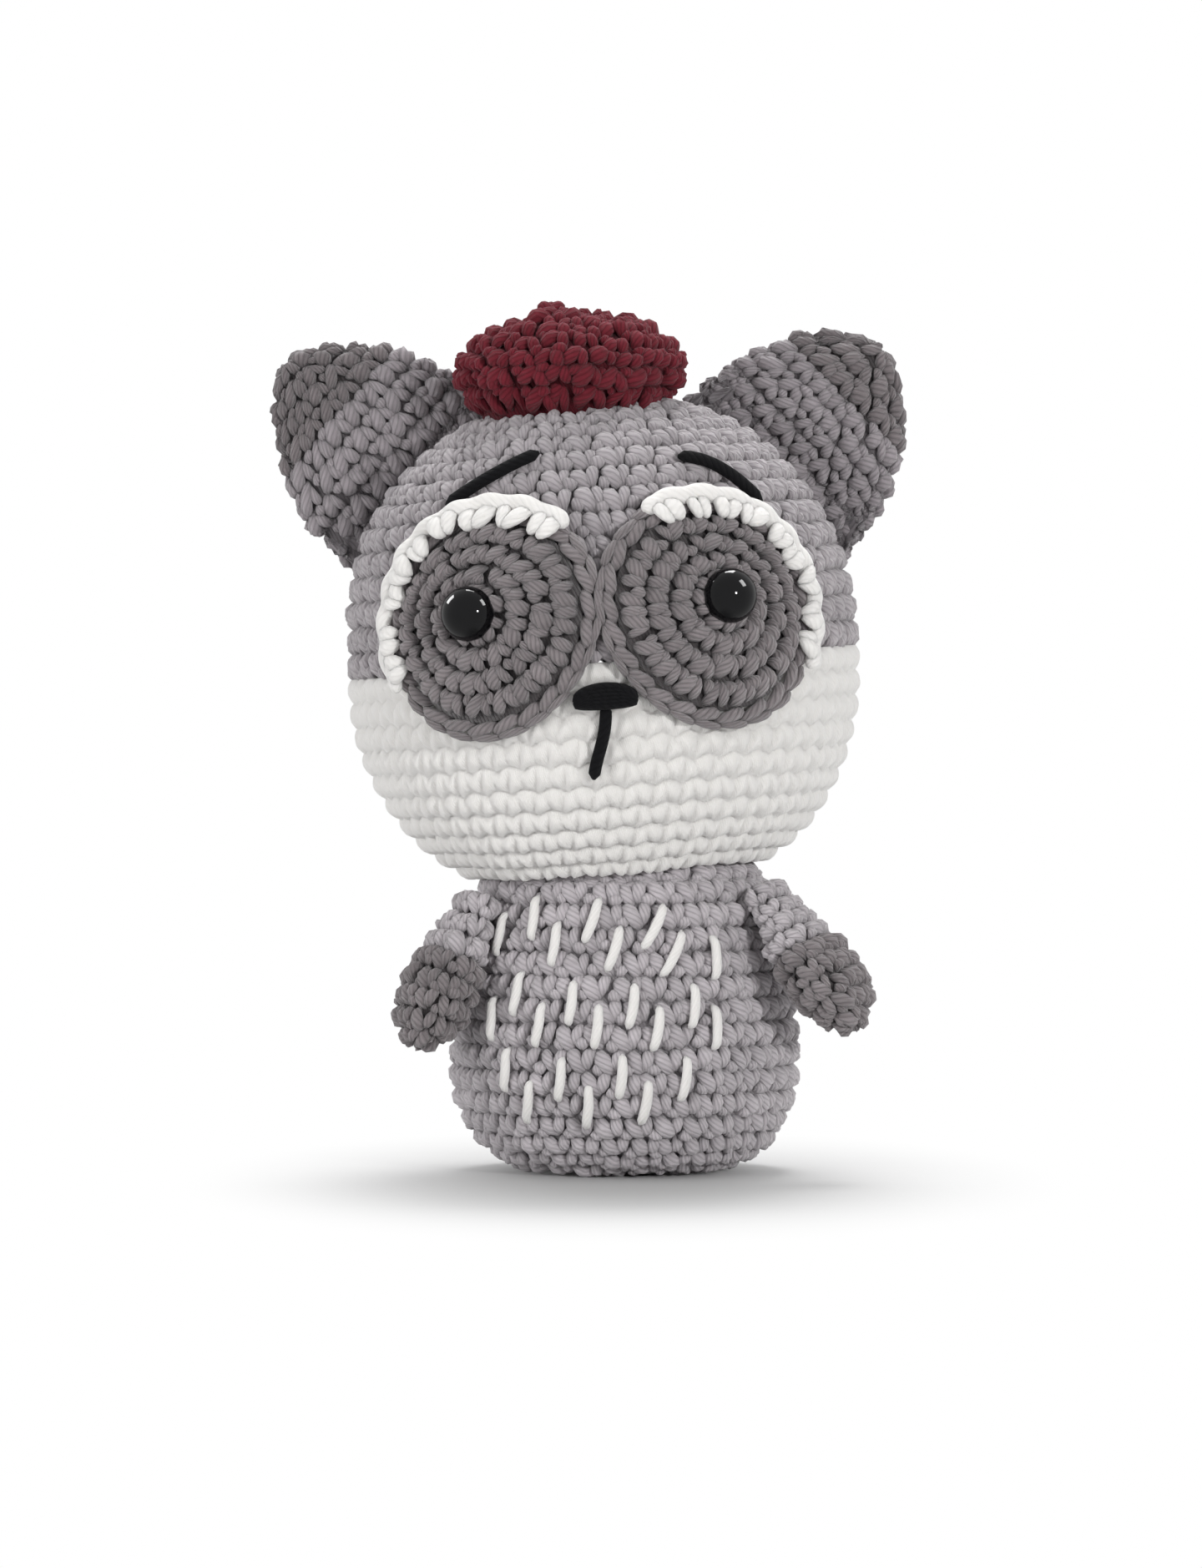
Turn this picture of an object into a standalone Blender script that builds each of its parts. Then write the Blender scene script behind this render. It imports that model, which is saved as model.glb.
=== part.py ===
"""A crocheted, stuffed raccoon in a beret, as the pieces that it is sewn together from.

Metres, +Z up. The toy faces -Y and stands on the flat base of its body, whose centre is the origin.
Left and right are as seen by someone who looks at its face.
"""

import math

import bpy
from mathutils import Matrix, Vector

# Crochet and sewing
WALL = 0.003               # one layer of single crochet
LIMB_WALL = 0.0024         # the tighter crochet of the arms
GAP = 0.0003               # clearance between pieces that touch
FOLD_GAP = 0.0007          # clearance at a seam that folds
YARN_RADIUS = 0.0008       # sewing and embroidery yarn

# Body, turned about the vertical
BASE_RADIUS = 0.014        # the flat that stands on the table
BELLY_RADIUS = 0.0261
BELLY_HEIGHT = 0.017
NECK_RADIUS = 0.0213
NECK_HEIGHT = 0.0444
BELLY_ROUNDING = 2.2       # exponent of the curve from the base to the belly
SHOULDER_SLOPE = 1.7       # exponent of the curve from the belly to the neck

# Head, turned about its own axis, with heights from the line where the yarn changes from grey to white
PIVOT_DROP = 0.0146        # the head turns and nods about a point this far under the neck seam
HEAD_TILT = math.radians(-4.0)
HEAD_RADIUS = 0.0383
JAW_HEIGHT = 0.0319        # from the neck seam up to the colour line
CROWN_HEIGHT = 0.040       # from the colour line up to the top
HEAD_ROUNDING = 2.3        # exponent of the head's outline

# Face
PATCH_RADIUS = 0.016
PATCH_AZIMUTH = math.radians(24.4)
PATCH_HEIGHT = 0.0063
EDGING_WIDTH = 0.0033
EDGING_START = math.radians(-27.0)   # from straight outwards, over the top, towards the nose
EDGING_END = math.radians(133.0)
EYE_RADIUS = 0.004
EYE_BULGE = 0.0036
EYE_AZIMUTH = math.radians(27.2)
EYE_HEIGHT = 0.0082
SHANK_RADIUS = 0.0016
SHANK_END = 0.003          # how far the shank stands out of its washer
WASHER_RADIUS = 0.005
WASHER_THICKNESS = 0.0012
NOSE_HALF_WIDTH = 0.0044
NOSE_TALL = 0.0036
NOSE_THICKNESS = 0.0014
NOSE_HEIGHT = -0.0070      # of its flat lower edge
MOUTH_LENGTH = 0.0105
MOUTH_LEAN = -0.0022       # how far the lower end lies to one side
BROW_ARCH = 0.0009
BROW_CLEAR = 0.0006        # between a brow's outer end and the edging under it
LEFT_BROW = (-0.0212, -0.0071, 0.0042)      # outer and inner end across, and the rise of the inner end
RIGHT_BROW = (0.0236, 0.0134, 0.0020)

# Beret
BERET_RADIUS = 0.0175
BERET_RIM_RADIUS = 0.0144
BERET_HEIGHT = 0.0144
BERET_WIDEST = 0.0072      # height of its widest round above the rim
BERET_ROUNDING = 2.3
BERET_PLACE = (-0.0012, -0.003)      # across and back from the head's axis
BERET_TILT = math.radians(4.0)
STEM_RADIUS = 0.0028
STEM_HEIGHT = 0.0018
STEM_SHIFT = -0.0028

# Ears, flat pads that fold about the seam along their base
EAR_HEIGHT = 0.0271        # from the line through the base's two ends to the tip
EAR_HALF_WIDTH = 0.0178
EAR_THICKNESS = 0.0068
EAR_SEAM_THICKNESS = 0.0026
EAR_TIP_TALL = 0.0095      # the part in dark yarn
LEFT_EAR_OUTER = 0.0162    # height of the base's outer end above the colour line
RIGHT_EAR_OUTER = 0.0120
EAR_INNER_DROP = 0.0032    # from the head's top down to the base's inner end
LEFT_EAR_LEAN = 0.16       # slope of the tip towards the head's middle
RIGHT_EAR_LEAN = 0.06
EAR_BACK = 0.006           # behind the middle of the head
EAR_ROUNDING = 1.9
EAR_SWELL = 0.008          # height over which the thickness grows from the seam

# Arms, hung at the shoulder seams
SHOULDER_HEIGHT = 0.0410
LEFT_ARM_AZIMUTH = math.radians(61.0)
RIGHT_ARM_AZIMUTH = math.radians(59.0)
RIGHT_RAISE = math.radians(12.5)     # how far the right arm is lifted off the body
ARM_LENGTH = 0.0240
ARM_TOP_RADIUS = 0.0044
ARM_TOP_THICKNESS = 0.0042
ARM_TOP_REACH = 0.0004     # how far the top stands above the seam
PAW_RADIUS = 0.0070
PAW_THICKNESS = 0.0108
CUFF = 0.0092              # from the seam to the change from light to dark yarn
PAW_ROUND = 0.0078         # length of the rounded end
ARM_SWELL = 0.0125         # length over which the thickness grows from the seam

# Fur stitches on the chest, in staggered rows
FUR_LENGTH = 0.0064
FUR_RADIUS = 0.0009
FUR_LEAN = 0.0013          # how far the top of a stitch lies to one side
FUR_SHARES = (-0.5, -0.2, 0.2, 0.5)  # where along a stitch its points lie
FUR_END = 0.6              # share of the thickness that is left where a stitch dives into the body
FUR_PITCH = math.radians(20.3)
FUR_ROWS = (               # height, azimuth of the first stitch in degrees, number of stitches
    (0.0374, -35.0, 3),
    (0.0332, -44.5, 5),
    (0.0252, -38.5, 4),
    (0.0218, -48.5, 5),
    (0.0144, -42.5, 4),
    (0.0102, -34.0, 3),
)

# Facets
BIG_STEPS = 28
PATCH_STEPS = 24
EAR_STEPS = 20
SMALL_STEPS = 16
STRAND_SIDES = 8
ARC_RINGS = 7
LIMB_RINGS = 6
JAW_RINGS = 5
EYE_RINGS = 5
SLEEVE_RINGS = 4
FLAT_RINGS = 3             # in a disc and other short outlines
YARN_STEPS = 5             # along a stitch of the face
CIRCLE = 2.0               # exponent of a plain round outline

# Searches
HALVINGS = 40              # to find where the jaw meets the neck
SLOPE_STEP = 0.0005        # to measure the head's slope
HANG_STEP = math.radians(0.25)
HANG_POINTS = 28           # along the arm's inner side

# Derived
PIVOT_HEIGHT = NECK_HEIGHT - PIVOT_DROP
COLOUR_LINE = PIVOT_DROP + JAW_HEIGHT
NECK_BALL = math.hypot(NECK_RADIUS, PIVOT_DROP)
SOCKET = NECK_BALL + GAP
RIM_HEIGHT = NECK_HEIGHT - 2.0 * YARN_RADIUS
FACET_SAG = HEAD_RADIUS * (1.0 - math.cos(math.pi / BIG_STEPS))     # how far the flats cut into the round
JAW_SPAN = JAW_HEIGHT / (1.0 - (NECK_RADIUS / HEAD_RADIUS) ** HEAD_ROUNDING) ** (1.0 / HEAD_ROUNDING)

LIGHT_GREY = ("light_grey_yarn", (0.42, 0.39, 0.41), 0.9)
DARK_GREY = ("dark_grey_yarn", (0.24, 0.21, 0.22), 0.9)
WHITE = ("white_yarn", (0.78, 0.76, 0.73), 0.9)
BURGUNDY = ("burgundy_yarn", (0.17, 0.035, 0.047), 0.9)
BLACK_YARN = ("black_yarn", (0.014, 0.014, 0.016), 0.85)
BLACK_PLASTIC = ("black_plastic", (0.008, 0.008, 0.009), 0.08)
WASHER_PLASTIC = ("washer_plastic", (0.70, 0.70, 0.68), 0.45)
FIBREFILL = ("fibrefill", (0.85, 0.85, 0.84), 0.95)


def start_scene():
    """Empty the scene, and add one collection for the parts and one for the cutters."""
    for old in list(bpy.data.objects):
        bpy.data.objects.remove(old, do_unlink=True)
    made = []
    for name in ("crochet_raccoon", "cutters"):
        collection = bpy.data.collections.new(name)
        bpy.context.scene.collection.children.link(collection)
        made.append(collection)
    return made


PARTS, CUTTERS = start_scene()


def finish_of(finish):
    """The material for a finish: its name, colour and roughness."""
    name, colour, roughness = finish
    found = bpy.data.materials.get(name)
    if found:
        return found
    made = bpy.data.materials.new(name)
    made.use_nodes = True
    shader = made.node_tree.nodes["Principled BSDF"]
    shader.inputs["Base Color"].default_value = (*colour, 1.0)
    shader.inputs["Roughness"].default_value = roughness
    shader.inputs["Metallic"].default_value = 0.0
    return made


def pivot(name, parent, place):
    """An empty that a moving group of pieces hangs on."""
    empty = bpy.data.objects.new(name, None)
    PARTS.objects.link(empty)
    empty.parent = parent
    empty.matrix_local = place
    return empty


def add(name, data, finish, parent=None, place=Matrix.Identity(4)):
    """A piece, with its finish, on its parent."""
    piece = bpy.data.objects.new(name, data)
    PARTS.objects.link(piece)
    piece.data.materials.append(finish_of(finish))
    piece.parent = parent
    piece.matrix_local = place
    return piece


def as_cutter(piece):
    """Move a piece to the cutters, out of the finished model."""
    PARTS.objects.unlink(piece)
    CUTTERS.objects.link(piece)
    piece.hide_render = True
    piece.display_type = "WIRE"
    return piece


def cut(piece, cutter):
    """Take the cutter's shape out of a piece."""
    boolean = piece.modifiers.new("Cut_" + cutter.name, "BOOLEAN")
    boolean.operation = "DIFFERENCE"
    boolean.solver = "EXACT"
    boolean.object = cutter


def turned_mesh(name, profile, steps, closed=False, angle=2.0 * math.pi):
    """Turn a profile of (radius, height) points about Z, running down its outer side."""
    links = [(i, i + 1) for i in range(len(profile) - 1)]
    if closed:
        links.append((len(profile) - 1, 0))
    outline = bpy.data.meshes.new(name + "_outline")
    outline.from_pydata([(radius, 0.0, height) for radius, height in profile], links, [])
    turner = bpy.data.objects.new(name + "_outline", outline)
    CUTTERS.objects.link(turner)
    screw = turner.modifiers.new("Turn", "SCREW")
    screw.angle = angle
    screw.steps = steps
    screw.render_steps = steps
    screw.use_merge_vertices = True
    screw.merge_threshold = 0.00001
    graph = bpy.context.evaluated_depsgraph_get()
    mesh = bpy.data.meshes.new_from_object(turner.evaluated_get(graph))
    mesh.name = name
    bpy.data.objects.remove(turner)
    mesh.shade_smooth()
    return mesh


def reshape(mesh, rule):
    """Move every vertex of a mesh by a rule from old place to new."""
    for vertex in mesh.vertices:
        vertex.co = rule(vertex.co)
    return mesh


def rounded(share, exponent):
    """How much of its full reach a rounded outline still has, this share of the way to its end."""
    return max(0.0, 1.0 - min(share, 1.0) ** exponent) ** (1.0 / exponent)


def quarter(across, up, exponent, rings):
    """Points of a rounded quarter, from straight up at the axis round to straight across."""
    points = []
    for ring in range(rings + 1):
        turn = 0.5 * math.pi * ring / rings
        over = across * max(0.0, math.sin(turn)) ** (2.0 / exponent)
        high = up * max(0.0, math.cos(turn)) ** (2.0 / exponent)
        points.append((over, high))
    return points


def smooth_step(share):
    """A soft ramp from 0 to 1."""
    share = min(max(share, 0.0), 1.0)
    return share * share * (3.0 - 2.0 * share)


def body_radius(height):
    """Radius of the body's outside at a height."""
    if height < BELLY_HEIGHT:
        swell = rounded((BELLY_HEIGHT - height) / BELLY_HEIGHT, BELLY_ROUNDING)
        return BASE_RADIUS + (BELLY_RADIUS - BASE_RADIUS) * swell
    share = (height - BELLY_HEIGHT) / (NECK_HEIGHT - BELLY_HEIGHT)
    return BELLY_RADIUS - (BELLY_RADIUS - NECK_RADIUS) * share ** SHOULDER_SLOPE


def body_side(inset):
    """The body's side, top to bottom, this far inside its outside."""
    points = []
    for ring in range(JAW_RINGS):
        height = RIM_HEIGHT + (BELLY_HEIGHT - RIM_HEIGHT) * ring / JAW_RINGS
        points.append((body_radius(height) - inset, height))
    swell = quarter(BELLY_HEIGHT - inset, BELLY_RADIUS - inset - BASE_RADIUS, BELLY_ROUNDING, JAW_RINGS)
    for drop, over in swell:
        points.append((BASE_RADIUS + over, BELLY_HEIGHT - drop))
    return points


SHOULDER_REACH = body_radius(SHOULDER_HEIGHT) + GAP + 0.5 * ARM_TOP_THICKNESS


def head_radius(height, outset=0.0):
    """Radius of the head's outside at a height from the colour line, or of a surface outside it."""
    span = (CROWN_HEIGHT if height > 0.0 else JAW_SPAN) + outset
    return (HEAD_RADIUS + outset) * rounded(abs(height) / span, HEAD_ROUNDING)


def crown_arc(outset):
    """The upper head's outline, top to bottom, from the neck pivot up."""
    points = quarter(HEAD_RADIUS + outset, CROWN_HEIGHT + outset, HEAD_ROUNDING, ARC_RINGS)
    return [(over, COLOUR_LINE + max(high, 0.5 * GAP)) for over, high in points]


def jaw_arc(outset):
    """The lower head's outline, top to bottom, down to where it meets the ball of the neck."""
    def point(turn):
        over = (HEAD_RADIUS + outset) * math.cos(turn) ** (2.0 / HEAD_ROUNDING)
        drop = (JAW_SPAN + outset) * math.sin(turn) ** (2.0 / HEAD_ROUNDING)
        return over, COLOUR_LINE - max(drop, 0.5 * GAP)

    near, far = 0.0, 0.5 * math.pi
    for _ in range(HALVINGS):
        middle = 0.5 * (near + far)
        if math.hypot(*point(middle)) > SOCKET:
            near = middle
        else:
            far = middle
    return [point(near * ring / JAW_RINGS) for ring in range(JAW_RINGS + 1)]


def ball_arc(radius, widest):
    """Points on a ball about the neck pivot, from its top down to a width."""
    last = math.asin(widest / radius)
    return [
        (radius * math.sin(last * ring / JAW_RINGS), radius * math.cos(last * ring / JAW_RINGS))
        for ring in range(JAW_RINGS + 1)
    ]


def on_head(azimuth, height, outset):
    """A point outside the head: azimuth from the front towards the viewer's right, height from the line."""
    radius = head_radius(height, outset)
    return Vector((radius * math.sin(azimuth), -radius * math.cos(azimuth), COLOUR_LINE + height))


def across_head(across, height, outset):
    """A point outside the front of the head, from how far across and how high it is seen."""
    return on_head(math.asin(across / head_radius(height, outset)), height, outset)


def head_frame(azimuth, height, outset):
    """A frame on the head, with Z along the surface's outward normal and X to the viewer's right."""
    place = on_head(azimuth, height, outset)
    right = on_head(azimuth + SLOPE_STEP, height, outset) - on_head(azimuth - SLOPE_STEP, height, outset)
    up = on_head(azimuth, height + SLOPE_STEP, outset) - on_head(azimuth, height - SLOPE_STEP, outset)
    x_axis = right.normalized()
    z_axis = right.cross(up).normalized()
    y_axis = z_axis.cross(x_axis)
    frame = Matrix((x_axis, y_axis, z_axis)).transposed().to_4x4()
    return Matrix.Translation(place) @ frame


def tube(name, points, radius, finish, parent, ends=1.0):
    """A length of yarn along points, thinner at its ends."""
    curve = bpy.data.curves.new(name, "CURVE")
    curve.dimensions = "3D"
    curve.bevel_depth = radius
    curve.bevel_resolution = 1
    curve.use_fill_caps = True
    spline = curve.splines.new("POLY")
    spline.points.add(len(points) - 1)
    for knot, point in zip(spline.points, points):
        knot.co = (*point, 1.0)
    spline.points[0].radius = ends
    spline.points[-1].radius = ends
    return add(name, curve, finish, parent)


def thicken(piece, thickness):
    """Give an open surface its thickness, outwards."""
    solid = piece.modifiers.new("Thickness", "SOLIDIFY")
    solid.thickness = thickness
    solid.offset = 1.0
    solid.use_even_offset = True


def flat_rings(radius):
    """The profile of a flat disc, from its middle out."""
    return [(radius * ring / FLAT_RINGS, 0.0) for ring in range(FLAT_RINGS + 1)]


def laid_on_head(mesh, azimuth, height):
    """Lay a flat mesh on the front of the head, its X across and its Y up."""
    def rule(flat):
        level = height + flat.y
        return on_head(azimuth + flat.x / head_radius(level, GAP), level, GAP)

    return reshape(mesh, rule)


def make_body():
    """The body's cover, its stuffing, and the fur stitches on its chest."""
    outside = body_side(0.0)
    inside = body_side(WALL)
    cover = [(0.0, WALL)] + inside[::-1] + outside + [(0.0, 0.0)]
    add("body_cover", turned_mesh("body_cover", cover, BIG_STEPS), LIGHT_GREY)

    side = body_side(WALL + GAP)
    cap = [(over, PIVOT_HEIGHT + high) for over, high in ball_arc(NECK_BALL - GAP, side[0][0])]
    filling = cap + side + [(0.0, WALL + GAP)]
    add("body_stuffing", turned_mesh("body_stuffing", filling, BIG_STEPS), FIBREFILL)

    number = 0
    for height, first, count in FUR_ROWS:
        for place in range(count):
            number += 1
            azimuth = math.radians(first) + place * FUR_PITCH
            make_fur_stitch("fur_stitch_%02d" % number, azimuth, height)


def make_fur_stitch(name, azimuth, height):
    """One straight stitch of white yarn, lying on the body."""
    points = []
    for share in FUR_SHARES:
        level = height + share * FUR_LENGTH
        out = body_radius(level) + FUR_RADIUS + GAP
        turn = azimuth + share * FUR_LEAN / out
        points.append((out * math.sin(turn), -out * math.cos(turn), level))
    tube(name, points, FUR_RADIUS, WHITE, None, ends=FUR_END)


def make_neck(neck):
    """The strand that sews the head to the body's rim."""
    centre = RIM_HEIGHT + GAP + YARN_RADIUS - PIVOT_HEIGHT
    ring = body_radius(RIM_HEIGHT) - 0.5 * WALL
    section = []
    for side in range(STRAND_SIDES):
        turn = -2.0 * math.pi * side / STRAND_SIDES
        section.append((ring + YARN_RADIUS * math.cos(turn), centre + YARN_RADIUS * math.sin(turn)))
    add("neck_seam", turned_mesh("neck_seam", section, BIG_STEPS, closed=True), LIGHT_GREY, neck)


def make_head(head):
    """The grey and white covers of the head, and its stuffing."""
    crown = crown_arc(0.0) + crown_arc(-WALL)[::-1]
    crown_cover = add("crown_cover", turned_mesh("crown_cover", crown, BIG_STEPS), LIGHT_GREY, head)

    jaw = jaw_arc(0.0) + jaw_arc(-WALL)[::-1]
    jaw_mesh = turned_mesh("jaw_cover", jaw, BIG_STEPS, closed=True)
    add("jaw_cover", jaw_mesh, WHITE, head)

    inset = -WALL - GAP
    lower = jaw_arc(inset)
    socket = ball_arc(SOCKET, lower[-1][0])
    filling = crown_arc(inset)[:-1] + lower + socket[-2::-1]
    stuffing = add("head_stuffing", turned_mesh("head_stuffing", filling, BIG_STEPS), FIBREFILL, head)
    return crown_cover, stuffing


def make_eye_side(side, sign, head, crown_cover, stuffing):
    """One eye patch with its edging, and the safety eye with its washer."""
    disc = turned_mesh(side + "_eye_patch", flat_rings(PATCH_RADIUS), PATCH_STEPS)
    laid_on_head(disc, sign * PATCH_AZIMUTH, PATCH_HEIGHT)
    patch = add(side + "_eye_patch", disc, DARK_GREY, head)
    thicken(patch, WALL)

    inner = PATCH_RADIUS + GAP
    strip = [(inner, 0.0), (inner + EDGING_WIDTH, 0.0)]
    border = turned_mesh(side + "_patch_edging", strip, SMALL_STEPS, angle=EDGING_END - EDGING_START)
    start = EDGING_START if sign > 0.0 else math.pi - EDGING_END
    border.transform(Matrix.Rotation(start, 4, "Z"))
    laid_on_head(border, sign * PATCH_AZIMUTH, PATCH_HEIGHT)
    thicken(add(side + "_patch_edging", border, WHITE, head), WALL)

    layers = GAP + WALL
    eye_place = head_frame(sign * EYE_AZIMUTH, EYE_HEIGHT, layers + GAP)
    cover_inside = layers + GAP + WALL
    hollow = WASHER_RADIUS ** 2 / (2.0 * (HEAD_RADIUS - WALL)) + FACET_SAG
    washer_top = -cover_inside - GAP - hollow
    shank_foot = washer_top - WASHER_THICKNESS - SHANK_END
    dome = quarter(EYE_RADIUS, EYE_BULGE, CIRCLE, EYE_RINGS)
    eye = dome + [(SHANK_RADIUS, 0.0), (SHANK_RADIUS, shank_foot), (0.0, shank_foot)]
    add(side + "_eye", turned_mesh(side + "_eye", eye, SMALL_STEPS), BLACK_PLASTIC, head, eye_place)

    hole = SHANK_RADIUS + GAP
    washer_foot = washer_top - WASHER_THICKNESS
    outer_side = [(WASHER_RADIUS, washer_top), (WASHER_RADIUS, washer_foot)]
    ring = [(hole, washer_top)] + outer_side + [(hole, washer_foot)]
    washer = turned_mesh(side + "_eye_washer", ring, SMALL_STEPS, closed=True)
    add(side + "_eye_washer", washer, WASHER_PLASTIC, head, eye_place)

    drill = post(side + "_eye_hole", hole, EYE_BULGE, washer_top, head, eye_place)
    cut(patch, drill)
    cut(crown_cover, drill)
    room = post(side + "_eye_room", WASHER_RADIUS + GAP, -layers, shank_foot - GAP, head, eye_place)
    cut(stuffing, room)


def post(name, radius, top, foot, parent, place):
    """A round cutter along the Z axis of a place."""
    profile = [(0.0, top), (radius, top), (radius, foot), (0.0, foot)]
    return as_cutter(add(name, turned_mesh(name, profile, SMALL_STEPS), FIBREFILL, parent, place))


def make_face(head):
    """The nose, the mouth stitch and the brows."""
    nose = turned_mesh("nose", flat_rings(NOSE_HALF_WIDTH), SMALL_STEPS, angle=math.pi)
    nose.transform(Matrix.Diagonal((1.0, NOSE_TALL / NOSE_HALF_WIDTH, 1.0, 1.0)))
    laid_on_head(nose, 0.0, NOSE_HEIGHT)
    thicken(add("nose", nose, BLACK_YARN, head), NOSE_THICKNESS)

    lift = YARN_RADIUS + GAP
    top = NOSE_HEIGHT - lift
    mouth = []
    for step in range(YARN_STEPS + 1):
        share = step / YARN_STEPS
        mouth.append(across_head(MOUTH_LEAN * share, top - MOUTH_LENGTH * share, lift))
    tube("mouth_stitch", mouth, YARN_RADIUS, BLACK_YARN, head)

    for name, (outer, inner, rise) in (("left_eyebrow", LEFT_BROW), ("right_eyebrow", RIGHT_BROW)):
        start = over_edging(outer, YARN_RADIUS + BROW_CLEAR)
        end = over_edging(inner, YARN_RADIUS + BROW_CLEAR) + rise
        brow = []
        for step in range(YARN_STEPS + 1):
            share = step / YARN_STEPS
            across = outer + (inner - outer) * share
            height = start + (end - start) * share + BROW_ARCH * math.sin(math.pi * share)
            brow.append(across_head(across, height, lift))
        tube(name, brow, YARN_RADIUS, BLACK_YARN, head)


def over_edging(across, clear):
    """Height of a point that clears an eye patch's edging, this far across the face."""
    radius = head_radius(PATCH_HEIGHT + PATCH_RADIUS, GAP)
    offset = (math.asin(abs(across) / radius) - PATCH_AZIMUTH) * radius
    return PATCH_HEIGHT + math.sqrt((PATCH_RADIUS + GAP + EDGING_WIDTH + clear) ** 2 - offset ** 2)


def head_form(name, head, outset):
    """A cutter with the shape of the head's outside, larger all round."""
    profile = crown_arc(outset) + [(0.0, COLOUR_LINE)]
    return as_cutter(add(name, turned_mesh(name, profile, BIG_STEPS), FIBREFILL, head))


def make_beret(head):
    """The beret's cover, the stuffing that keeps it plump, and its stem."""
    seat = CROWN_HEIGHT * rounded(BERET_RIM_RADIUS / HEAD_RADIUS, HEAD_ROUNDING)
    place = Matrix.Translation((*BERET_PLACE, COLOUR_LINE + seat)) @ Matrix.Rotation(BERET_TILT, 4, "Y")
    seat_form = head_form("beret_seat", head, GAP)
    skirt = WALL

    def side(inset):
        """The beret's outline, top to bottom, this far inside its outside."""
        rise = BERET_HEIGHT - BERET_WIDEST - inset
        top = quarter(BERET_RADIUS - inset, rise, BERET_ROUNDING, JAW_RINGS)
        points = [(over, BERET_WIDEST + high) for over, high in top]
        tuck = BERET_RADIUS - BERET_RIM_RADIUS
        for step in range(FLAT_RINGS):
            share = (step + 1) / FLAT_RINGS
            points.append((BERET_RADIUS - inset - tuck * share ** 2, BERET_WIDEST * (1.0 - share)))
        points.append((BERET_RIM_RADIUS - inset, -skirt))
        return points

    shell = turned_mesh("beret", side(0.0) + side(WALL)[::-1], BIG_STEPS)
    cut(add("beret", shell, BURGUNDY, head, place), seat_form)
    core = turned_mesh("beret_stuffing", side(WALL + GAP) + [(0.0, -skirt)], BIG_STEPS)
    cut(add("beret_stuffing", core, FIBREFILL, head, place), seat_form)

    dome = quarter(STEM_RADIUS, STEM_HEIGHT, CIRCLE, FLAT_RINGS)
    stem_place = place @ Matrix.Translation((STEM_SHIFT, 0.0, BERET_HEIGHT + GAP))
    stem = turned_mesh("beret_stem", dome + [(0.0, 0.0)], SMALL_STEPS)
    add("beret_stem", stem, BURGUNDY, head, stem_place)


def make_ear(side, sign, low_height, lean, head, seat_form):
    """One ear: a flat pad, light at the base and dark at the tip, sewn on along its base."""
    high_height = CROWN_HEIGHT - EAR_INNER_DROP

    def end(height):
        radius = head_radius(height)
        return Vector((sign * math.sqrt(radius ** 2 - EAR_BACK ** 2), EAR_BACK, COLOUR_LINE + height))

    low, high = end(low_height), end(high_height)
    along = (low - high).normalized() * sign
    out = along.cross(Vector((0.0, 1.0, 0.0)))
    middle_height = 0.5 * (low_height + high_height)
    bulge = 0.5 * (end(middle_height) - 0.5 * (low + high)).dot(out)
    turn = Matrix((along, Vector((0.0, 1.0, 0.0)), out)).transposed().to_4x4()
    ear = pivot(side + "_ear", head, Matrix.Translation(0.5 * (low + high) + out * bulge) @ turn)

    tip = EAR_HEIGHT - bulge
    split = tip - EAR_TIP_TALL

    def width(height):
        return EAR_HALF_WIDTH * rounded((height + bulge) / EAR_HEIGHT, EAR_ROUNDING)

    def flatten(point):
        grown = smooth_step((point.z - bulge) / EAR_SWELL)
        thickness = EAR_SEAM_THICKNESS + (EAR_THICKNESS - EAR_SEAM_THICKNESS) * grown
        across = point.x - sign * lean * (point.z - bulge)
        return Vector((across, point.y * 0.5 * thickness / EAR_HALF_WIDTH, point.z))

    top = split + 0.5 * GAP
    dome = []
    for step in range(JAW_RINGS + 1):
        height = tip - (tip - top) * (step / JAW_RINGS) ** 2
        dome.append((width(height), height))
    dome_mesh = turned_mesh(side + "_ear_tip", dome + [(0.0, top)], EAR_STEPS)
    add(side + "_ear_tip", reshape(dome_mesh, flatten), DARK_GREY, ear)

    foot = split - 0.5 * GAP
    below = -2.0 * bulge
    pad = [(0.0, foot)]
    for step in range(LIMB_RINGS + 1):
        height = foot + (below - foot) * step / LIMB_RINGS
        pad.append((width(max(height, -bulge)), height))
    pad.append((0.0, below))
    pad_mesh = turned_mesh(side + "_ear_base", pad, EAR_STEPS)
    base = add(side + "_ear_base", reshape(pad_mesh, flatten), LIGHT_GREY, ear)
    cut(base, seat_form)


def arm_radius(reach):
    """Half the arm's width at a distance down from its seam."""
    straight = ARM_LENGTH - PAW_ROUND
    if reach < straight:
        share = (reach + ARM_TOP_REACH) / (straight + ARM_TOP_REACH)
        return ARM_TOP_RADIUS + (PAW_RADIUS - ARM_TOP_RADIUS) * smooth_step(share)
    return PAW_RADIUS * rounded((reach - straight) / PAW_ROUND, CIRCLE)


def arm_flat(point):
    """Press a round arm flat, most of all at its seam."""
    grown = smooth_step(-point.z / ARM_SWELL)
    seam = ARM_TOP_THICKNESS / (2.0 * ARM_TOP_RADIUS)
    paw = PAW_THICKNESS / (2.0 * PAW_RADIUS)
    return Vector((point.x, point.y * (seam + (paw - seam) * grown), point.z))


def arm_side(start, end, inset, rings):
    """The arm's outline between two distances from its seam, this far inside its outside."""
    points = []
    for ring in range(rings + 1):
        reach = start + (end - start) * ring / rings
        points.append((arm_radius(reach) - inset, -reach))
    return points


def paw_end(inset):
    """The rounded end of the paw, top to bottom."""
    end = quarter(PAW_ROUND - inset, PAW_RADIUS - inset, CIRCLE, JAW_RINGS)
    return [(over, -(ARM_LENGTH - PAW_ROUND) - down) for down, over in end]


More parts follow.
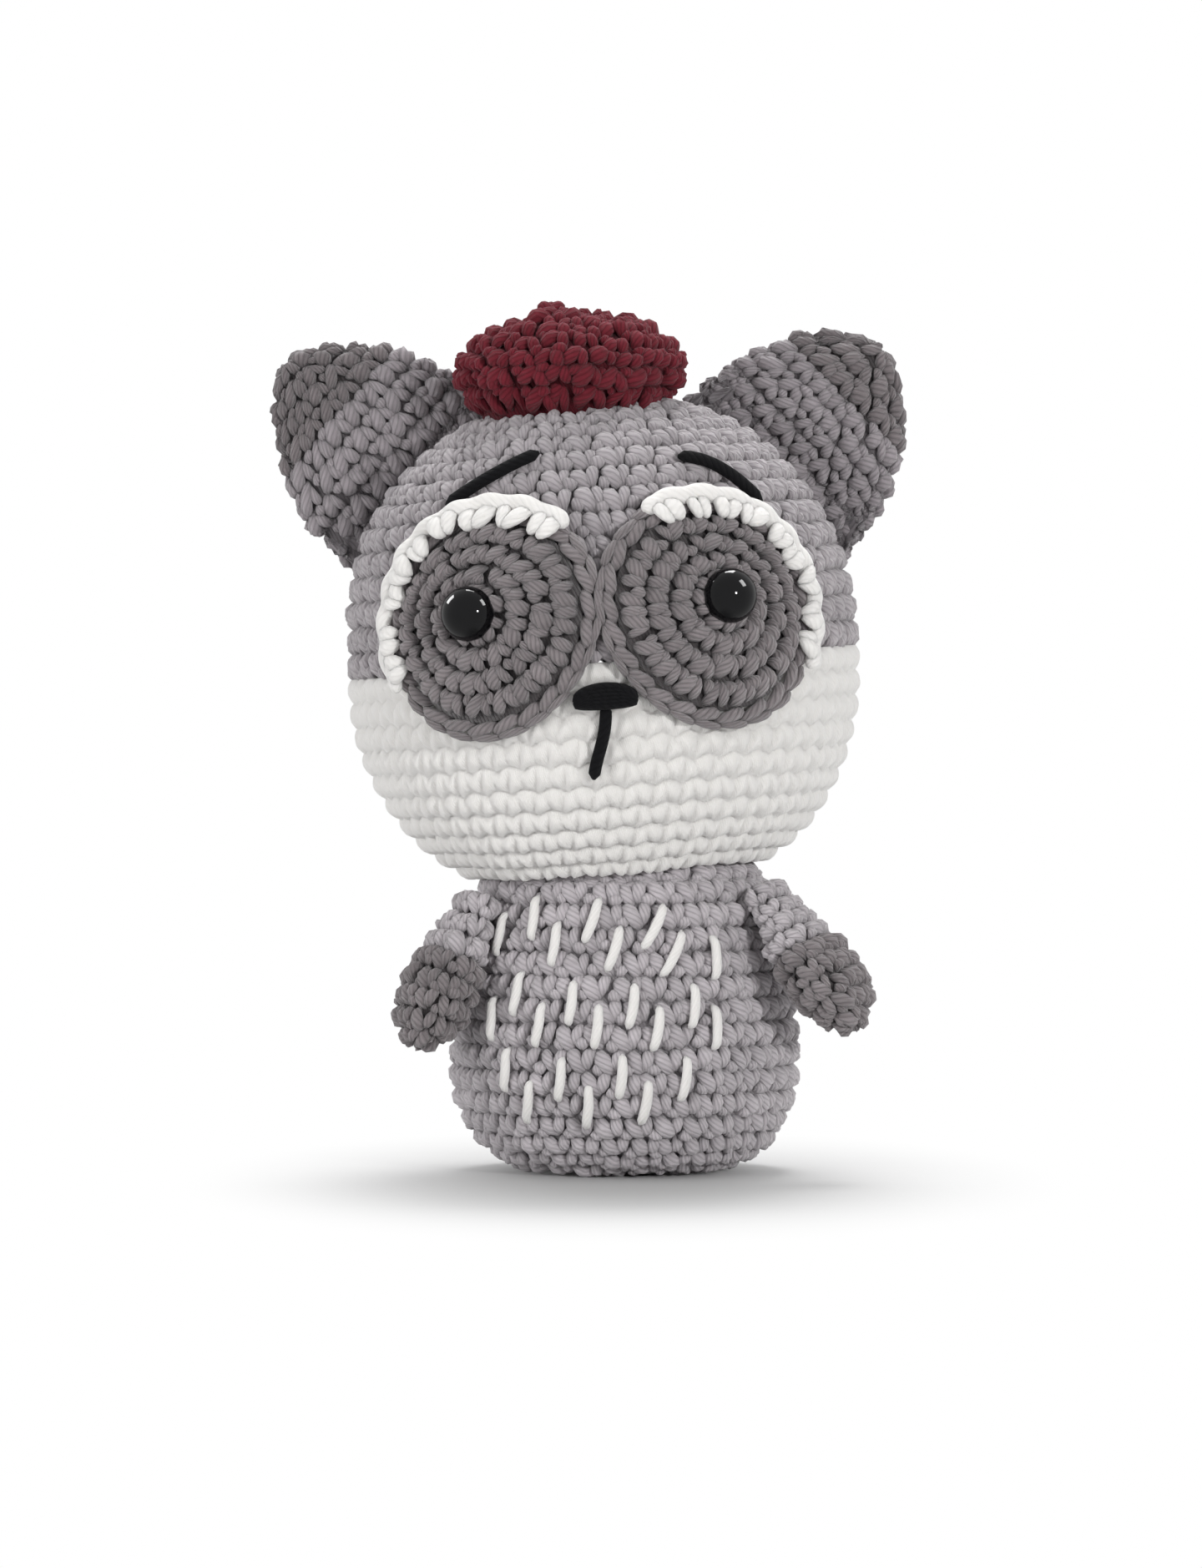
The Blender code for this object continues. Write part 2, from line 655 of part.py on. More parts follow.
def hanging_lift():
    """The angle from the vertical at which an arm hangs down against the body."""
    lift = 0.0
    while not hangs_clear(lift):
        lift += HANG_STEP
    return lift


def hangs_clear(lift):
    """Whether an arm at this angle stays off the body, by a gap, all along its inner side."""
    for point in range(1, HANG_POINTS):
        reach = ARM_LENGTH * point / HANG_POINTS
        inner = arm_flat(Vector((0.0, arm_radius(reach), -reach)))
        out = SHOULDER_REACH + reach * math.sin(lift) - inner.y * math.cos(lift)
        height = SHOULDER_HEIGHT - reach * math.cos(lift) - inner.y * math.sin(lift)
        if out < body_radius(height) + GAP:
            return False
    return True


def make_arm(side, azimuth, lift):
    """One arm: a light sleeve and a dark paw round their stuffing, hung at the shoulder seam."""
    outward = Vector((math.sin(azimuth), -math.cos(azimuth), 0.0))
    hinge = outward.cross(Vector((0.0, 0.0, 1.0)))
    place = Matrix.Translation(outward * SHOULDER_REACH + Vector((0.0, 0.0, SHOULDER_HEIGHT)))
    turn = Matrix((hinge, outward, Vector((0.0, 0.0, 1.0)))).transposed().to_4x4()
    arm = pivot(side + "_arm", None, place @ turn @ Matrix.Rotation(lift, 4, "X"))

    cuff_top = CUFF - 0.5 * GAP
    outer = arm_side(-ARM_TOP_REACH, cuff_top, 0.0, SLEEVE_RINGS)
    inner = arm_side(-ARM_TOP_REACH, cuff_top, LIMB_WALL, SLEEVE_RINGS)
    sleeve = turned_mesh(side + "_sleeve", outer + inner[::-1], SMALL_STEPS, closed=True)
    add(side + "_sleeve", reshape(sleeve, arm_flat), LIGHT_GREY, arm)

    straight = ARM_LENGTH - PAW_ROUND
    paw_top = CUFF + 0.5 * GAP
    outer = arm_side(paw_top, straight, 0.0, FLAT_RINGS)[:-1] + paw_end(0.0)
    inner = arm_side(paw_top, straight, LIMB_WALL, FLAT_RINGS)[:-1] + paw_end(LIMB_WALL)
    paw = turned_mesh(side + "_paw", inner[::-1] + outer, SMALL_STEPS)
    add(side + "_paw", reshape(paw, arm_flat), DARK_GREY, arm)

    inset = LIMB_WALL + GAP
    core = [(0.0, 0.0)] + arm_side(0.0, straight, inset, LIMB_RINGS)[:-1] + paw_end(inset)
    stuffing = turned_mesh(side + "_arm_stuffing", core, SMALL_STEPS)
    add(side + "_arm_stuffing", reshape(stuffing, arm_flat), FIBREFILL, arm)


def main():
    """Build the toy, from its body to its ears."""
    make_body()
    neck = pivot("neck", None, Matrix.Translation((0.0, 0.0, PIVOT_HEIGHT)))
    make_neck(neck)
    head = pivot("head", neck, Matrix.Rotation(HEAD_TILT, 4, "Y"))
    crown_cover, stuffing = make_head(head)
    ear_seat = head_form("ear_seat", head, FOLD_GAP)
    hanging = hanging_lift()
    make_arm("left", -LEFT_ARM_AZIMUTH, hanging)
    make_arm("right", RIGHT_ARM_AZIMUTH, hanging + RIGHT_RAISE)
    for side, sign in (("left", -1.0), ("right", 1.0)):
        make_eye_side(side, sign, head, crown_cover, stuffing)
    make_ear("left", -1.0, LEFT_EAR_OUTER, LEFT_EAR_LEAN, head, ear_seat)
    make_ear("right", 1.0, RIGHT_EAR_OUTER, RIGHT_EAR_LEAN, head, ear_seat)
    make_face(head)
    make_beret(head)


main()
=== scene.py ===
"""The looks of a crocheted, stuffed raccoon in a beret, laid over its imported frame.

Metres, +Z up. The toy faces -Y and stands on the flat base of its body, whose centre is the origin.
Left and right are as seen by someone who looks at its face. Every cover is worked in single crochet: each
stitch is plump legs of yarn in a V, modelled once and copied along the rounds of a stuffed form. The yarn of
the white jaw closes up, so its rows are the relief of one skin.
"""

import logging
import math
from dataclasses import dataclass, field
from enum import Enum
from typing import Protocol

import bpy
import numpy as np
from mathutils import Matrix, Vector


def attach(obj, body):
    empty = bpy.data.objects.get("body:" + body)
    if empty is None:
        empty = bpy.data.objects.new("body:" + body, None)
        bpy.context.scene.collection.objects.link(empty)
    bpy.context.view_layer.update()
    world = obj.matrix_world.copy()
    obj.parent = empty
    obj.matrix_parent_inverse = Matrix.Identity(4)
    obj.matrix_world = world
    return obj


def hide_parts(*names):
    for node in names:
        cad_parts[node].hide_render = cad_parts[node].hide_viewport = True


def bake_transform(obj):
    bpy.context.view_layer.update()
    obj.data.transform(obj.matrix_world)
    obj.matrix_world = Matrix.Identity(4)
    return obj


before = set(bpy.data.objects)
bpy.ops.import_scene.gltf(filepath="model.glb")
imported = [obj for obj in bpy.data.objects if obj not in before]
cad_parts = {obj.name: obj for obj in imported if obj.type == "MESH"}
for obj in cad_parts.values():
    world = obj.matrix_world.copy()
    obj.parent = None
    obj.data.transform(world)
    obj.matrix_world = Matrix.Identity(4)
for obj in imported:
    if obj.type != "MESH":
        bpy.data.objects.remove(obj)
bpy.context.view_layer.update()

LOG = logging.getLogger("crochet_raccoon")

STITCH = 0.0044            # width of a stitch along its round
ROW = 0.0038               # from one round to the next
SINK = 0.0013              # how far the stitches' feet lie under the outside of the fabric
LINING = 0.0015            # how far the lining lies under the outside of the fabric
LUMPS = 0.0004             # how uneven the stuffing of the head and the body is
LINING_SHADE = -2.6         # painted shade: makes the lining, which shows in the gaps between stitches, darker than the darkest stitch
CREASE_SHADE = 3.2               # painted shade: how much darker a stitch's tone is where it lies deep between its neighbours
GAP = 0.0003               # between pieces that lie on each other
NUDGE = 0.001              # a step outwards, to find which way that is
STRAND_MAP = "strand"
# the point attribute that holds each stitch's random tone, with the painted crease and lining shade
TONE = "tone"
FULL_TURN = 2.0 * math.pi


class Worked(Enum):
    """Which way a form's rounds follow each other."""

    UPWARDS = 1.0
    DOWNWARDS = -1.0


class Lights(Enum):
    """What a lamp lights: everything, only matt surfaces or only their gloss."""

    ALL = "all"
    MATT = "matt"
    GLOSS = "gloss"


class Slot(Enum):
    """The record's material slots."""

    LIGHT_GREY = "light_grey_yarn"
    DARK_GREY = "dark_grey_yarn"
    WHITE = "white_yarn"
    BURGUNDY = "burgundy_yarn"
    BLACK = "black_yarn"
    PLASTIC = "black_plastic"
    WASHER = "washer_plastic"


class Graph:
    """A material's nodes, added and joined one at a time."""

    def __init__(self, name: str) -> None:
        """Start a material that has only its surface shader."""
        self.material = bpy.data.materials.new(name)
        self.material.use_nodes = True
        self.tree = self.material.node_tree
        self.shader = self.tree.nodes["Principled BSDF"]

    def node(self, kind: str, **values: object) -> bpy.types.Node:
        """Add a node.

        Args:
            kind: the node's type, without its ShaderNode prefix.
            values: properties of the node.

        Returns:
            The new node.
        """
        made = self.tree.nodes.new("ShaderNode" + kind)
        for name, value in values.items():
            setattr(made, name, value)
        return made

    def join(self, output: bpy.types.NodeSocket, target: bpy.types.NodeSocket) -> None:
        """Lead an output to an input."""
        self.tree.links.new(output, target)

    def sum(self, operation: str, *terms: object) -> bpy.types.NodeSocket:
        """A Math node.

        Args:
            operation: the sum that the node does.
            terms: sockets or numbers, in order.

        Returns:
            The result's socket.
        """
        made = self.node("Math", operation=operation)
        for socket, term in zip(made.inputs, terms):
            if isinstance(term, (int, float)):
                socket.default_value = term
            else:
                self.join(term, socket)
        return made.outputs[0]


@dataclass(frozen=True)
class Yarn:
    """A yarn of twisted plies."""

    name: str
    slot: Slot
    colour: tuple[float, float, float]
    plies: float = 8.0
    twist: float = 3.6             # turns of the plies along one leg of a stitch, in plies
    groove: float = 0.55           # painted shade: how bright the colour is in the grooves between plies
    spread: float = 0.16           # how much stitches differ in brightness, and how strong the painted crease and lining shade is
    bump: float = 0.75
    sheen: float = 0.35
    gloss: float = 0.2
    soft: float = 0.4              # how much light passes through the fibres

    FIBRES = 3.0                   # across each ply
    FIBRE_SCALE = 2.6
    FIBRE_DETAIL = 3.0
    FIBRE_HEIGHT = 0.75
    PLY_HEIGHT = 0.45
    RELIEF = 0.0004
    ROUGHNESS = 0.85
    SHEEN_ROUGHNESS = 0.45
    SCATTER = 0.0015

    def material(self) -> bpy.types.Material:
        """The yarn's material, made the first time it is asked for."""
        return bpy.data.materials.get(self.name) or self._made()

    def _made(self) -> bpy.types.Material:
        """Build the nodes: plies that twist along the strand, fine fibres, painted shade in the grooves
        between them, and a tone for each stitch that carries painted crease shade.
        """
        graph = Graph(self.name)
        place = graph.node("SeparateXYZ")
        graph.join(graph.node("UVMap", uv_map=STRAND_MAP).outputs["UV"], place.inputs[0])
        round_strand, along = place.outputs["X"], place.outputs["Y"]
        tone = graph.node("Attribute", attribute_name=TONE).outputs["Fac"]

        phase = graph.sum("MULTIPLY_ADD", round_strand, self.plies, graph.sum("MULTIPLY", along, self.twist))
        ridge = graph.sum("MULTIPLY", graph.sum("PINGPONG", phase, 0.5), math.pi)
        ply = graph.sum("SINE", ridge)

        spot = graph.node("CombineXYZ")
        graph.join(graph.sum("MULTIPLY", phase, self.FIBRES), spot.inputs["X"])
        graph.join(along, spot.inputs["Y"])
        fibre = graph.node("TexNoise")
        fibre.inputs["Scale"].default_value = self.FIBRE_SCALE
        fibre.inputs["Detail"].default_value = self.FIBRE_DETAIL
        graph.join(spot.outputs[0], fibre.inputs["Vector"])
        plies = graph.sum("MULTIPLY", ply, self.PLY_HEIGHT)
        height = graph.sum("MULTIPLY_ADD", fibre.outputs["Fac"], self.FIBRE_HEIGHT, plies)

        bump = graph.node("Bump")
        bump.inputs["Strength"].default_value = self.bump
        bump.inputs["Distance"].default_value = self.RELIEF
        graph.join(height, bump.inputs["Height"])
        graph.join(bump.outputs[0], graph.shader.inputs["Normal"])

        # Painted shade: the colour falls to the groove colour where plies and fibres are low.
        mix = graph.node("Mix", data_type="RGBA")
        mix.inputs[6].default_value = (*[part * self.groove for part in self.colour], 1.0)
        mix.inputs[7].default_value = (*self.colour, 1.0)
        graph.join(height, mix.inputs[0])
        shade = graph.node("HueSaturation")
        level = graph.sum("MULTIPLY_ADD", tone, self.spread, 1.0 - 0.5 * self.spread)
        graph.join(level, shade.inputs["Value"])
        graph.join(mix.outputs[2], shade.inputs["Color"])
        graph.join(shade.outputs[0], graph.shader.inputs["Base Color"])

        graph.shader.inputs["Roughness"].default_value = self.ROUGHNESS
        graph.shader.inputs["Specular IOR Level"].default_value = self.gloss
        graph.shader.inputs["Sheen Weight"].default_value = self.sheen
        graph.shader.inputs["Sheen Roughness"].default_value = self.SHEEN_ROUGHNESS
        graph.shader.inputs["Subsurface Weight"].default_value = self.soft
        graph.shader.inputs["Subsurface Radius"].default_value = (1.0, 1.0, 1.0)
        graph.shader.inputs["Subsurface Scale"].default_value = self.SCATTER * self.soft
        return graph.material


@dataclass(frozen=True)
class Plastic:
    """A moulded plastic, with fine scuffs in its gloss."""

    name: str
    slot: Slot
    colour: tuple[float, float, float]
    roughness: float
    ior: float = 1.45

    def material(self) -> bpy.types.Material:
        """The plastic's material, made the first time it is asked for."""
        return bpy.data.materials.get(self.name) or self._made()

    def _made(self) -> bpy.types.Material:
        """Build the nodes: a colour that clouds a little, and scuffs in the roughness."""
        graph = Graph(self.name)
        place = graph.node("TexCoord").outputs["Object"]
        scuff = graph.node("TexNoise")
        scuff.inputs["Scale"].default_value = 900.0
        scuff.inputs["Detail"].default_value = 4.0
        graph.join(place, scuff.inputs["Vector"])
        graph.join(
            graph.sum("MULTIPLY_ADD", scuff.outputs["Fac"], 0.5 * self.roughness, 0.75 * self.roughness),
            graph.shader.inputs["Roughness"],
        )
        cloud = graph.node("Mix", data_type="RGBA")
        cloud.inputs[6].default_value = (*[0.8 * part for part in self.colour], 1.0)
        cloud.inputs[7].default_value = (*[1.2 * part for part in self.colour], 1.0)
        graph.join(scuff.outputs["Fac"], cloud.inputs[0])
        graph.join(cloud.outputs[2], graph.shader.inputs["Base Color"])
        graph.shader.inputs["IOR"].default_value = self.ior
        return graph.material


LIGHT_GREY = Yarn("light_grey_crochet", Slot.LIGHT_GREY, (0.582, 0.542, 0.567), groove=0.42)
# Painted shade: a darker copy of the light grey yarn, for the crown.
CROWN_GREY_SHADED = Yarn("crown_grey_shaded_crochet", Slot.LIGHT_GREY, (0.465, 0.430, 0.450), groove=0.42)
# Painted shade: a still darker copy of the light grey yarn, for the bases of the ears.
EAR_GREY_SHADED = Yarn("ear_grey_shaded_crochet", Slot.LIGHT_GREY, (0.365, 0.332, 0.350), groove=0.42)
DARK_GREY = Yarn("dark_grey_crochet", Slot.DARK_GREY, (0.285, 0.254, 0.261),
                 groove=0.26, spread=0.2, bump=0.9)
# The ear tips' dark grey yarn, made darker than the dark grey of the paws and patches as painted shade.
TIP_GREY_SHADED = Yarn("ear_tip_crochet", Slot.DARK_GREY, (0.235, 0.207, 0.213),
                groove=0.28, spread=0.2, bump=0.9)
WHITE = Yarn("white_crochet", Slot.WHITE, (0.785, 0.77, 0.75),
             groove=0.88, spread=0.04, bump=0.5, soft=0.6)
BURGUNDY = Yarn("burgundy_crochet", Slot.BURGUNDY, (0.178, 0.0205, 0.032),
                groove=0.33, sheen=0.08, gloss=0.08)
BLACK = Yarn("black_embroidery", Slot.BLACK, (0.0075, 0.0075, 0.0085),
             plies=5.0, sheen=0.02, gloss=0.08, soft=0.0)
EYE_PLASTIC = Plastic("eye_black", Slot.PLASTIC, (0.002, 0.002, 0.0025), roughness=0.05, ior=1.28)
WASHER_PLASTIC = Plastic("washer_natural", Slot.WASHER, (0.70, 0.70, 0.68), roughness=0.45)


@dataclass(frozen=True)
class Model:
    """A small mesh that is modelled once and copied."""

    points: np.ndarray
    corners: np.ndarray            # the points that the faces go through, one face after the other
    sizes: np.ndarray              # how many corners each face has
    strand: np.ndarray             # where each corner lies round its strand and along it


@dataclass(frozen=True)
class Leg:
    """One leg of a stitch, from its foot, under the round before, up to its head, under the round after."""

    foot: tuple[float, float]      # across the stitch and along the round's height
    head: tuple[float, float]
    half_width: float
    half_depth: float = 0.00096
    sides: int = 8
    rings: tuple[float, ...] = (0.0, 0.14, 0.38, 0.66, 0.88, 1.0)
    swell: tuple[float, ...] = (0.34, 0.76, 1.02, 1.02, 0.80, 0.36)
    rise: tuple[float, ...] = (-0.0009, -0.0001, 0.00042, 0.00042, -0.0002, -0.0011)

    def model(self) -> Model:
        """Model the leg from a cylinder that is cut into rings and swelled.

        Returns:
            The leg's mesh, with its points as (across, along, out of the fabric).
        """
        bpy.ops.object.select_all(action="DESELECT")
        bpy.ops.mesh.primitive_cylinder_add(vertices=self.sides, radius=1.0, depth=1.0, end_fill_type="NGON")
        rod = bpy.context.object
        bpy.ops.object.mode_set(mode="EDIT")
        for ring in self.rings[1:-1]:
            bpy.ops.mesh.select_all(action="SELECT")
            bpy.ops.mesh.bisect(plane_co=(0.0, 0.0, ring - 0.5), plane_no=(0.0, 0.0, 1.0))
        bpy.ops.object.mode_set(mode="OBJECT")
        mesh = rod.data
        round_rod = np.array([vertex.co for vertex in mesh.vertices])
        share = round_rod[:, 2] + 0.5
        corners = np.array([loop.vertex_index for loop in mesh.loops])
        sizes = np.array([len(face.vertices) for face in mesh.polygons])
        strand = np.array([corner.uv for corner in mesh.uv_layers.active.data])
        strand[:, 1] = share[corners]
        bpy.data.objects.remove(rod)
        bpy.data.meshes.remove(mesh)
        return Model(self._shaped(round_rod, share), corners, sizes, strand)

    def _shaped(self, rod: np.ndarray, share: np.ndarray) -> np.ndarray:
        """Bend a straight rod into the leg.

        Args:
            rod: points of a rod of radius 1 along Z.
            share: how far along the leg each point lies.

        Returns:
            The points of the leg.
        """
        foot, head = np.array(self.foot), np.array(self.head)
        onward = (head - foot) / np.linalg.norm(head - foot)
        sideways = np.array((onward[1], -onward[0]))
        thick = np.interp(share, self.rings, self.swell)
        flat = foot + np.outer(share, head - foot) + np.outer(rod[:, 0] * thick * self.half_width, sideways)
        out = np.interp(share, self.rings, self.rise) - rod[:, 1] * thick * self.half_depth
        return np.column_stack((flat, out))


def stitch_legs() -> list[Model]:
    """The legs of a stitch: a wide one that leans, a narrow one, and the loop that shows below."""
    leaning = Leg(foot=(0.00100, -0.00055), head=(-0.00165, 0.00380), half_width=0.00124)
    upright = Leg(foot=(0.00115, -0.00005), head=(0.00180, 0.00415), half_width=0.00094)
    below = Leg(foot=(-0.00230, -0.00040), head=(-0.00100, 0.00165), half_width=0.00104,
                half_depth=0.00084, sides=6)
    return [leaning.model(), upright.model(), below.model()]


def level_legs() -> list[Model]:
    """The legs of a stitch in a flat disc, whose feet lie level along their round."""
    leaning = Leg(foot=(0.00085, -0.00040), head=(-0.00145, 0.00370), half_width=0.00118)
    upright = Leg(foot=(0.00130, -0.00035), head=(0.00155, 0.00365), half_width=0.00090)
    below = Leg(foot=(-0.00235, -0.00020), head=(-0.00090, 0.00190), half_width=0.00104,
                half_depth=0.00084, sides=6)
    return [leaning.model(), upright.model(), below.model()]


def tooth_legs() -> list[Model]:
    """The legs of a loose stitch that ends in a point: the teeth of the white edging."""
    rise = (-0.0003, 0.0001, 0.0003, 0.0003, 0.0, -0.0004)
    left = Leg(foot=(-0.00005, 0.00010), head=(-0.00150, 0.00390), half_width=0.00116, rise=rise)
    right = Leg(foot=(0.00060, 0.00000), head=(0.00135, 0.00390), half_width=0.00102, rise=rise)
    return [left.model(), right.model()]


LEGS = stitch_legs()
LEVEL_LEGS = level_legs()
TOOTH = tooth_legs()


class Surface(Protocol):
    """Something that stitches are laid on."""

    def at(self, turn: np.ndarray, along: np.ndarray, lift: np.ndarray) -> np.ndarray:
        """Points on the surface, from turns round it, metres along it and metres out of it."""

    def girth(self, along: float) -> float:
        """The length of a round at a distance along the surface."""


class Oval:
    """Angles that divide ovals of any flatness into equal lengths."""

    FLATTEST = 0.05
    RATIOS = np.linspace(FLATTEST, 1.0, 24)
    TURNS = np.linspace(0.0, 1.0, 361)

    def __init__(self) -> None:
        """Measure round an oval of each flatness, and turn lengths back into angles."""
        angles = np.linspace(0.0, FULL_TURN, 1441)
        rows = []
        for ratio in self.RATIOS:
            speed = np.hypot(np.sin(angles), ratio * np.cos(angles))
            length = np.concatenate(([0.0], np.cumsum(0.5 * (speed[1:] + speed[:-1]))))
            rows.append(np.interp(self.TURNS, length / length[-1], angles))
        self._table = np.array(rows)

    def angle(self, turn: np.ndarray, ratio: np.ndarray) -> np.ndarray:
        """The angle that lies a share of the way round an oval.

        Args:
            turn: shares of a full turn.
            ratio: thickness over width of each oval.

        Returns:
            Angles in radians.
        """
        whole = np.floor(turn)
        column = (turn - whole) * (len(self.TURNS) - 1)
        row = (np.clip(ratio, self.FLATTEST, 1.0) - self.FLATTEST) / (self.RATIOS[1] - self.FLATTEST)
        left = np.minimum(column.astype(int), len(self.TURNS) - 2)
        low = np.minimum(row.astype(int), len(self.RATIOS) - 2)
        across, up = column - left, row - low
        lower = self._table[low, left] * (1.0 - across) + self._table[low, left + 1] * across
        upper = self._table[low + 1, left] * (1.0 - across) + self._table[low + 1, left + 1] * across
        return lower * (1.0 - up) + upper * up + whole * FULL_TURN


OVAL = Oval()


@dataclass
class Form:
    """A stuffed form with oval sections, worked in rounds along its profile."""

    profile: np.ndarray            # rows of half width, half thickness, sideways shift and height
    place: Matrix
    worked: Worked
    lumps: float = 0.0             # how uneven the stuffing is
    turn_step: float = 0.002
    reach_step: float = 0.0002
    reach: np.ndarray = field(init=False)

    def __post_init__(self) -> None:
        """Measure along the profile's thin side."""
        steps = np.hypot(np.diff(self.profile[:, 1]), np.diff(self.profile[:, 3]))
        self.reach = np.concatenate(([0.0], np.cumsum(steps)))

    @property
    def length(self) -> float:
        """The length of the whole profile."""
        return float(self.reach[-1])

    def along_at(self, height: float) -> float:
        """The distance along the profile at which it is at a height, where it is tallest."""
        heights = self.profile[:, 3] * self.worked.value
        return float(np.interp(height * self.worked.value, heights, self.reach))

    def _skin(self, turn: np.ndarray, along: np.ndarray) -> np.ndarray:
        """Points on the form itself, in its own frame."""
        wide, thick, shift, height = (np.interp(along, self.reach, column) for column in self.profile.T)
        angle = OVAL.angle(turn, thick / np.maximum(wide, 1e-9))
        return np.stack((shift + wide * np.cos(angle), thick * np.sin(angle), height), axis=-1)

    def at(self, turn: np.ndarray, along: np.ndarray, lift: np.ndarray) -> np.ndarray:
        """Points on or off the form.

        Args:
            turn: shares of a turn round the form.
            along: metres along its profile.
            lift: metres out of its outside.

        Returns:
            Points in the row frame.
        """
        along = np.clip(along, 2.0 * self.reach_step, self.length - self.reach_step)
        skin = self._skin(turn, along)
        around = self._skin(turn + self.turn_step, along) - self._skin(turn - self.turn_step, along)
        onward = self._skin(turn, along + self.reach_step) - self._skin(turn, along - self.reach_step)
        normal = np.cross(around, onward) * self.worked.value
        normal /= np.maximum(np.linalg.norm(normal, axis=-1, keepdims=True), 1e-15)
        lift = np.asarray(lift) + self.lumps * self._unevenness(turn, along)
        return placed(skin + normal * lift[..., None], self.place)

    @staticmethod
    def _unevenness(turn: np.ndarray, along: np.ndarray) -> np.ndarray:
        """Soft lumps and dents between -1 and 1."""
        angle, way = FULL_TURN * turn, along / 0.012
        wide = np.sin(3.0 * angle + 0.9 * way + 0.6) * np.cos(1.1 * way - 0.4)
        close = np.sin(7.0 * angle - 1.3 * way + 2.1) * np.sin(1.9 * way + angle)
        return 0.6 * wide + 0.4 * close

    def girth(self, along: float) -> float:
        """The length of a round."""
        wide = float(np.interp(along, self.reach, self.profile[:, 0]))
        thick = float(np.interp(along, self.reach, self.profile[:, 1]))
        slim = 3.0 * (wide + thick)
        return math.pi * (slim - math.sqrt((3.0 * wide + thick) * (wide + 3.0 * thick)))


def placed(points: np.ndarray, place: Matrix) -> np.ndarray:
    """Move points from a piece's own frame to the row frame."""
    matrix = np.array(place)
    return points @ matrix[:3, :3].T + matrix[:3, 3]


def rounded(share: np.ndarray, exponent: float) -> np.ndarray:
    """How much of its full reach a rounded outline still has, this share of the way to its end."""
    return np.maximum(0.0, 1.0 - np.clip(share, 0.0, 1.0) ** exponent) ** (1.0 / exponent)


def smooth_step(share: np.ndarray) -> np.ndarray:
    """A soft ramp from 0 to 1."""
    held = np.clip(share, 0.0, 1.0)
    return held * held * (3.0 - 2.0 * held)


def quarter(across: float, up: float, exponent: float, count: int = 40) -> np.ndarray:
    """A rounded quarter outline.

    Args:
        across: its reach across.
        up: its reach up.
        exponent: 2 for an ellipse, more for a squarer curve.
        count: how many points it has.

    Returns:
        Rows of (across, up), from straight up round to straight across.
    """
    turn = np.linspace(0.0, 0.5 * math.pi, count)
    over = across * np.maximum(np.sin(turn), 0.0) ** (2.0 / exponent)
    high = up * np.maximum(np.cos(turn), 0.0) ** (2.0 / exponent)
    return np.column_stack((over, high))


def turned(outline: np.ndarray) -> np.ndarray:
    """The profile of a round form from an outline of (radius, height)."""
    return np.column_stack((outline[:, 0], outline[:, 0], np.zeros(len(outline)), outline[:, 1]))


